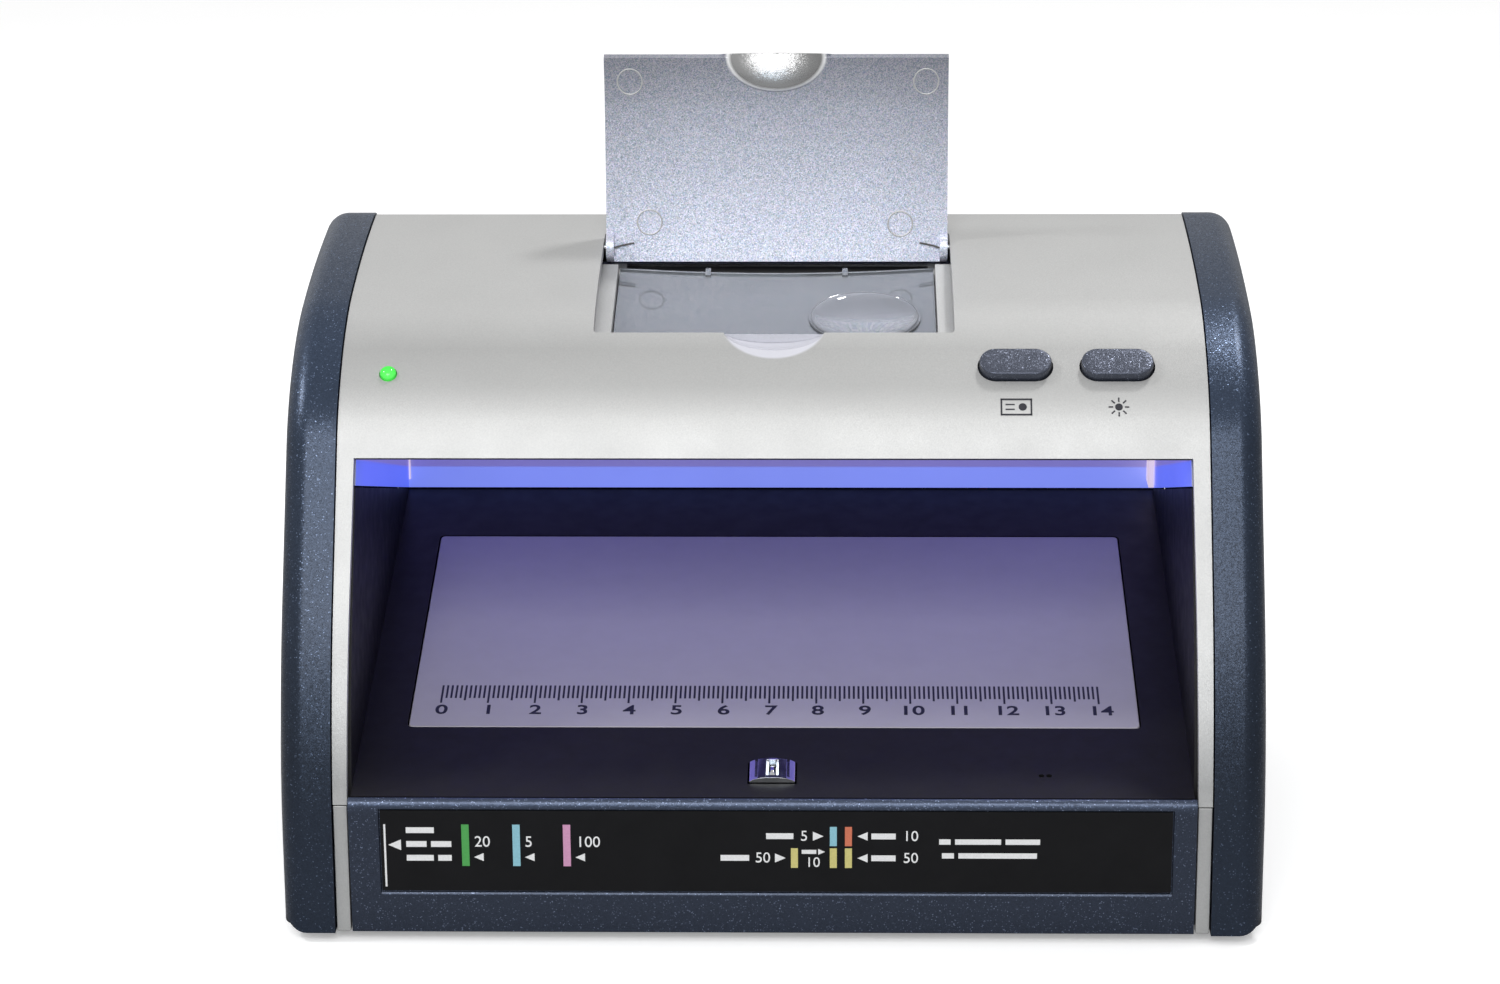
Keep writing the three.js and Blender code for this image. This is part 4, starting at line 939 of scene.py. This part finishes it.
def light_panel():
    """The opal panel in the tray, with its printed ruler."""
    plate = raise_z(rounded_rect(-PANEL_HALF, PANEL_HALF, PANEL_FRONT, PANEL_BACK, 1), -2.5, 0)
    piece("opal_panel", plate, TRAY, OPAL, ["light_panel"], 0.25)
    ticks = []
    zero, top = -71.05, 44.3
    for mm in range(141):
        length = 6.9 if mm % 10 == 0 else 5.9 if mm % 5 == 0 else 5.0
        x = zero + mm
        ticks.append(box(x - 0.22, x + 0.22, top - length, top, 0, 0.03))
    for cm in range(15):
        digits = moved(numeral(str(cm), 3.4, bolder=0.1), Matrix.Scale(1.1, 4, (1, 0, 0)))
        ticks.append(moved(digits, Matrix.Translation((zero + 0.35 + cm * 10, 34.6, 0))))
    piece("ruler_print", merged(ticks), TRAY, INK_BLACK)


def magnetic_head():
    """The polished head that stands in the tray, and its core."""
    arch = bezier_points([(HEAD_HALF, 0.4), (HEAD_HALF * 0.75, HEAD_PROUD), (0, HEAD_PROUD)], 12)
    arch += [Vector((-p.x, p.y)) for p in reversed(arch[:-1])]
    profile = [Vector((-HEAD_HALF, -6)), Vector((HEAD_HALF, -6)), *arch]
    front, back = HEAD_AT - HEAD_DEPTH / 2, HEAD_AT + HEAD_DEPTH / 2
    shell = loft([[Vector((p.x, t, p.y)) for p in profile] for t in (front, back)])
    slot = box(-1.3, 1.3, front + 1.0, back - 0.6, -0.8, 9)
    grooves = [box(s * 3.3 - 0.3, s * 3.3 + 0.3, front + 0.8, back + 1, 0.55, 9) for s in (-1, 1)]
    piece("head_shell", combined(shell, [slot, *grooves]), TRAY, CHROME,
          ["magnetic_head"], 0.2)
    rings = []
    for z, half_x, half_t in ((-0.5, 0.85, 2.3), (0.6, 0.7, 2.0), (HEAD_PROUD - 0.15, 0.3, 0.7)):
        rings.append([Vector((sx * half_x, HEAD_AT + st * half_t, z))
                      for sx, st in ((-1, -1), (1, -1), (1, 1), (-1, 1))])
    piece("head_core", loft(rings), TRAY, CHROME, ["magnetic_core"], 0.1)


# ---- Magnifier window and lid ----
def window_well():
    """The frame that holds the pane and the lid, with a shelf below the hinge painted black as the
    shade in the pocket there.
    """
    length = (WINDOW_BACK - WINDOW_FRONT) / math.cos(TOP_SLOPE)
    hinge = IN_TOP @ Vector((0, HINGE.y, HINGE.z))
    reach, wall, top, floor = WINDOW_HALF + 2.4, SIGHT_HALF + 1.3, -3.0, -8.6
    front, back = -1.8, length - 0.4
    parts = []
    for s in (-1, 1):
        parts.append(box(*sorted((s * SIGHT_HALF, s * reach)), 0.3, back, top - 1.2, top))
        parts.append(box(*sorted((s * SIGHT_HALF, s * wall)), front, back, floor, top))
        parts.append(box(*sorted((s * (SIGHT_HALF - 1.4), s * (SIGHT_HALF + 0.5))), front, back,
                         floor, -PANE_DEPTH - PANE_THICK - GAP))
    parts.append(box(-wall, wall, front, -0.1, floor, top - 0.1))
    parts.append(box(-wall, wall, back - 1.3, back, floor, floor + 1.3))
    tongue, sill = SCOOP_RX + 1, surface(WINDOW_FRONT)
    parts.append(moved(box(-tongue, tongue, WINDOW_FRONT + 0.15, WINDOW_FRONT + 0.55, sill - 4.5,
                           sill - 0.5), IN_TOP))
    pocket_y = hinge.y - 4.4
    pocket = box(-50, 50, pocket_y, length + 5, -7.2, 5)
    bm = combined(combined(parts[0], parts[1:], "UNION"), [pocket])
    piece("window_well", bm, TOP, SILVER, ["window_frame"], 0.2)
    # painted shade: the shelf is black to stand for the dark pocket below the hinge
    shelf = raise_z(rounded_rect(-reach, reach, pocket_y, back, 1.0), floor, floor + 1.3)
    piece("window_shade_shelf", shelf, TOP, BLACK, rounding=0.1)


def viewing_pane():
    """The clear pane, its rear edge a shallow curve with a ridge and two tabs."""
    half = SIGHT_HALF - GAP
    edge = bezier_points([(half, PANE_REAR), (0, PANE_REAR - 2 * PANE_SAG), (-half, PANE_REAR)], 24)
    plate = raise_z([Vector((-half, GAP)), Vector((half, GAP)), *edge],
                    -PANE_DEPTH - PANE_THICK, -PANE_DEPTH)
    ridge_out = [p - Vector((0, 0.05)) for p in edge]
    ridge_in = [p - Vector((0, 0.7)) for p in reversed(edge)]
    ridge = raise_z([*ridge_out, *ridge_in], -PANE_DEPTH - 0.2, -PANE_DEPTH + 0.35)
    tab_y = PANE_REAR - PANE_SAG
    tabs = [box(x - 0.6, x + 0.6, tab_y - 1.2, tab_y + 2.4, -PANE_DEPTH - 1, -PANE_DEPTH + 0.4)
            for x in (-15, 15)]
    piece("window_pane", combined(plate, [ridge, *tabs], "UNION"), TOP, PANE,
          ["viewing_pane"], 0.15)


def magnifier_lens():
    """The shallow round lens on the pane: a short upright edge below a dome."""
    lens_y = (IN_TOP @ Vector((0, LENS_Y, surface(LENS_Y)))).y
    base = -PANE_DEPTH + 0.05
    edge_z = base + 0.45
    dome_r, dome_height = LENS_R - 0.5, 1.1
    profile = [(0, base), (LENS_R, base), (LENS_R, edge_z)]
    profile += [(dome_r * cosine, edge_z + dome_height * sine)
                for sine, cosine in quarter_turn(16)]
    piece("window_lens", lathe(profile, LENS_X, lens_y, 72), TOP, LENS,
          ["magnifier_lens"], 0.08)


def lid():
    """The hinged lid, drawn shut, with its finger boss and ejector-pin rings."""
    to_hinge = Matrix.Translation((0, -HINGE.y, -HINGE.z))
    outer = [Vector((LID_FRONT, surface(LID_FRONT)))]
    outer += [p for p in OUTLINE if p.y > 100 and LID_FRONT + 0.4 < p.x < LID_BACK - 0.4]
    outer.append(Vector((LID_BACK, surface(LID_BACK))))
    plate = sweep_x([*outer, *reversed(offset(outer, -LID_THICK))], -LID_HALF, LID_HALF)
    ear_r, ear_w = 3.2, 1.7
    ears = [rod(*sorted((s * (LID_HALF - ear_w), s * LID_HALF)), HINGE.y, HINGE.z, ear_r, 48)
            for s in (-1, 1)]
    bulge = combined(scoop_tool(*LID_BOSS), [box(-20, 20, LID_FRONT, 90, 90, 140)], "INTERSECT")
    trim = sweep_x([*outer, *reversed(offset(outer, 20))], -60, 60)
    cups = [rod(*sorted((s * (LID_HALF - ear_w + 0.45), s * 60)), HINGE.y, HINGE.z, 1.45)
            for s in (-1, 1)]
    bm = combined(combined(plate, [*ears, bulge], "UNION"), [trim, scoop_tool(), *cups])
    piece("lid_shell", moved(bm, to_hinge), LID, FLAKE, ["window_lid"], 0.22, "lid")

    rings = []
    mark_r = 2.7
    for x, y in ((-31.9, 54.1), (32.6, 54.1), (-27.9, 84.5), (27.1, 84.9)):
        circle = []
        for p in arc(x, y, mark_r, 0, 360, 48):
            slope = math.atan(surface(p.y + 1) - surface(p.y - 1)) / 2
            circle.append(Vector((p.x, p.y, surface(p.y) - LID_THICK / math.cos(slope))))
        rings.append(tube(circle, 0.17, 8))
    piece("lid_pin_marks", moved(merged(rings), to_hinge), LID, SILVER,
          body="lid")


# ---- Controls ----
def push_button(name, x):
    """A button's slightly crowned cap, and the skirt that keeps it in its hole."""
    outline = pill_outline(BUTTON_W, BUTTON_H, 20)
    rim, edge_z = 0.35, BUTTON_PROUD - 0.1
    rings = [(-3.0, outline), (edge_z - rim, outline)]
    for sine, cosine in quarter_turn(6)[1:]:
        ring = offset(outline, rim * (1 - cosine), closed=True)
        rings.append((edge_z - rim * (1 - sine), ring))
    rings.append((BUTTON_PROUD, offset(outline, 1.8, closed=True)))
    cap = loft([[Vector((p.x, p.y, z)) for p in ring] for z, ring in rings])
    skirt = raise_z(pill_outline(BUTTON_W + 2.6, BUTTON_H + 1.6, 20), -3.9, -2.9)
    bm = combined(cap, [skirt], "UNION")
    bm = moved(bm, Matrix.Translation((x, 0, 0)))
    piece(name + "_cap", bm, SHOULDER, BUTTON_SLATE, [name], 0.12, name)


PRINT_SPAN = (-0.12, 0.05)  # the hood's print runs from inside its face to just above it


def on_hood(x, y):
    """A frame lying on the hood's face at a depth."""
    slope = math.atan2(surface(y + 1) - surface(y - 1), 2)
    return turned(y, surface(y), slope) @ Matrix.Translation((x, 0, 0))


def strokes(lines, width=0.36):
    """Straight printed strokes, each from (x0, y0) to (x1, y1)."""
    bars = []
    for x0, y0, x1, y1 in lines:
        start, end = Vector((x0, y0)), Vector((x1, y1))
        along = (end - start).normalized() * width / 2
        across = Vector((-along.y, along.x))
        corners = [start - along - across, end + along - across,
                   end + along + across, start - along + across]
        bars.append(raise_z(corners, *PRINT_SPAN))
    return bars


def hood_icons():
    """A note with its watermark, and a lamp's rays, printed below the two buttons."""
    note_x, lamp_x = BUTTONS["watermark_button"], BUTTONS["uv_button"]
    w, h = 3.1, 1.75
    note = strokes([(-w, -h, w, -h), (w, -h, w, h), (w, h, -w, h), (-w, h, -w, -h)])
    note.append(post(1.3, 0, 0.85, *PRINT_SPAN))
    note += strokes([(-2.1, 0.55, -0.5, 0.55), (-2.1, -0.55, -0.5, -0.55)], 0.3)
    piece("icon_note", merged(note), on_hood(note_x, 31.8), INK_BLACK)
    rays = []
    for i in range(8):
        a = math.pi / 4 * i
        rays.append((1.35 * math.cos(a), 1.35 * math.sin(a), 2.0 * math.cos(a), 2.0 * math.sin(a)))
    lamp = [post(0, 0, 0.8, *PRINT_SPAN), *strokes(rays, 0.3)]
    piece("icon_lamp", merged(lamp), on_hood(lamp_x, 31.8), INK_BLACK)


def status_led():
    """The lamp's domed lens, with its collar under the hood."""
    profile = [(0, -5), (LED_R + 0.7, -5), (LED_R + 0.7, -3.4), (LED_R, -3.4)]
    profile += [(LED_R * cosine, 0.2 + 1.1 * sine) for sine, cosine in quarter_turn(8)]
    piece("status_lamp", lathe(profile, LED_X, LED_Y), SHOULDER, LED_GREEN,
          ["status_led"])


# ---- Stage, light and camera ----
def stage():
    """A floor that looks white to the camera but throws back less light than it seems to."""
    finish = Finish("floor_white", (0.9, 0.9, 0.9), 0.6, Specular_IOR_Level=0.1)
    finish.drive("Roughness", finish.patchy(60, 0.55, 0.65))
    seen = finish.node("LightPath").outputs["Is Camera Ray"]
    finish.drive("Base Color", finish.mixed(seen, (0.42, 0.42, 0.42), (0.93, 0.93, 0.93)))
    finish.drive("Emission Color", (1, 1, 1, 1))
    finish.drive("Emission Strength", finish.ranged(seen, 0, 1, 0, 0.3))
    size = 6
    corners = [(-size, -size, 0), (size, -size, 0), (size, size, 0), (-size, size, 0)]
    floor = mesh_object("floor", solid(corners, [(0, 1, 2, 3)]))
    floor.data.materials.append(finish.material)


def area_light(name, azimuth, elevation, distance, size, power, colour=(1, 1, 1)):
    """A soft square light aimed at the object; azimuth 0 is in front, positive to the right."""
    data = bpy.data.lights.new(name, "AREA")
    data.size = size
    data.energy = power
    data.color = colour
    lamp = linked(name, data)
    a, e = math.radians(azimuth), math.radians(elevation)
    away = Vector((math.sin(a) * math.cos(e), -math.cos(a) * math.cos(e), math.sin(e)))
    lamp.location = Vector((0, 0, 0.07)) + away * distance
    lamp.rotation_euler = (-away).to_track_quat("-Z", "Y").to_euler()


def studio_world():
    """White surroundings, brighter on the left than on the right."""
    world = bpy.data.worlds.new("studio")
    world.use_nodes = True
    tree = world.node_tree
    direction = tree.nodes.new("ShaderNodeTexCoord").outputs["Generated"]
    split = tree.nodes.new("ShaderNodeSeparateXYZ")
    level = tree.nodes.new("ShaderNodeMapRange")
    for name, value in (("From Min", -1), ("From Max", 1), ("To Min", 0.68), ("To Max", 0.40)):
        level.inputs[name].default_value = value
    tree.links.new(direction, split.inputs[0])
    tree.links.new(split.outputs["X"], level.inputs["Value"])
    tree.links.new(level.outputs["Result"], tree.nodes["Background"].inputs["Strength"])
    tree.nodes["Background"].inputs["Color"].default_value = (1, 1, 1, 1)
    bpy.context.scene.world = world


def lights():
    studio_world()
    area_light("key", -4, 35, 1.6, 0.8, 12)
    area_light("front", -4, 13, 1.8, 0.4, 2.2, (0.72, 0.86, 1.0))
    area_light("glint_right", 125, 67, 1.3, 0.16, 5)
    area_light("glint_left", -83, 46, 1.3, 0.16, 4)


def camera():
    """A camera with the photo's view."""
    data = bpy.data.cameras.new("camera")
    data.sensor_width = 36
    data.lens = 95.5
    eye = linked("camera", data)
    eye.location = HOUSING @ Vector((13.7, -766.2, 314.6))
    pitch, yaw, roll = math.radians(15.98), math.radians(1.33), math.radians(-0.305)
    eye.rotation_euler = (
        Matrix.Rotation(yaw, 4, "Z") @ Matrix.Rotation(math.pi / 2 - pitch, 4, "X")
        @ Matrix.Rotation(roll, 4, "Z")
    ).to_euler()
    bpy.context.scene.camera = eye


# ---- CAD nodes that keep their shape ----
CARRIED = {
    "base_pan": (SLATE, 0.3), "rear_panel": (SLATE, 0.3), "chamber_liner": (WHITE, 0.2),
    "base_screw": (STEEL, 0.15), "board_screw": (STEEL, 0.1), "head_screw": (STEEL, 0.1),
    "hinge_pin": (STEEL, 0.05), "lid_spring": (SPRING_STEEL, 0), "head_bracket": (STEEL, 0.1),
    "note_sensor": (BLACK, 0.05), "uv_lamp_bracket": (STEEL, 0.15), "uv_filter": (UV_GLOW, 0.1),
    "board": (BOARD, 0), "switch_body": (STEEL, 0.1), "switch_plunger": (BLACK, 0.1),
    "buzzer": (BLACK, 0.3), "dc_jack_pin": (BRASS, 0.1), "dc_jack": (BLACK, 0.2),
    "power_switch_housing": (BLACK, 0.2), "power_rocker": (BLACK, 0.3), "cable": (CABLE, 0),
    "foot": (RUBBER, 0.2),
}


def dress_cad():
    """Gives each CAD node that still shows its material, rounded edges and smooth shading."""
    for name, obj in frame["nodes"].items():
        if obj.hide_render:
            continue
        key = next((k for k in CARRIED if k in name), None)
        if key is None:
            raise ValueError(f"{name} has no finish")
        material, rounding = CARRIED[key]
        obj.data.materials.clear()
        obj.data.materials.append(material)
        obj.data.shade_smooth()
        if not rounding:
            obj.data.set_sharp_from_angle(angle=math.radians(40))
        finish_edges(obj, rounding, 2, 35)


top_cover()
hood_lining()
for side, word in ((-1, "left"), (1, "right")):
    side_cap(side, word + "_side_cap")
    trim_strip(side, word + "_trim_strip")
front_fascia()
fascia_label()
bill_tray()
light_panel()
magnetic_head()
window_well()
viewing_pane()
magnifier_lens()
lid()
for button, centre in BUTTONS.items():
    push_button(button, centre)
status_led()
hood_icons()
liner_ribs()
dress_cad()
stage()
lights()
camera()
bpy.context.scene.view_settings.view_transform = "Standard"
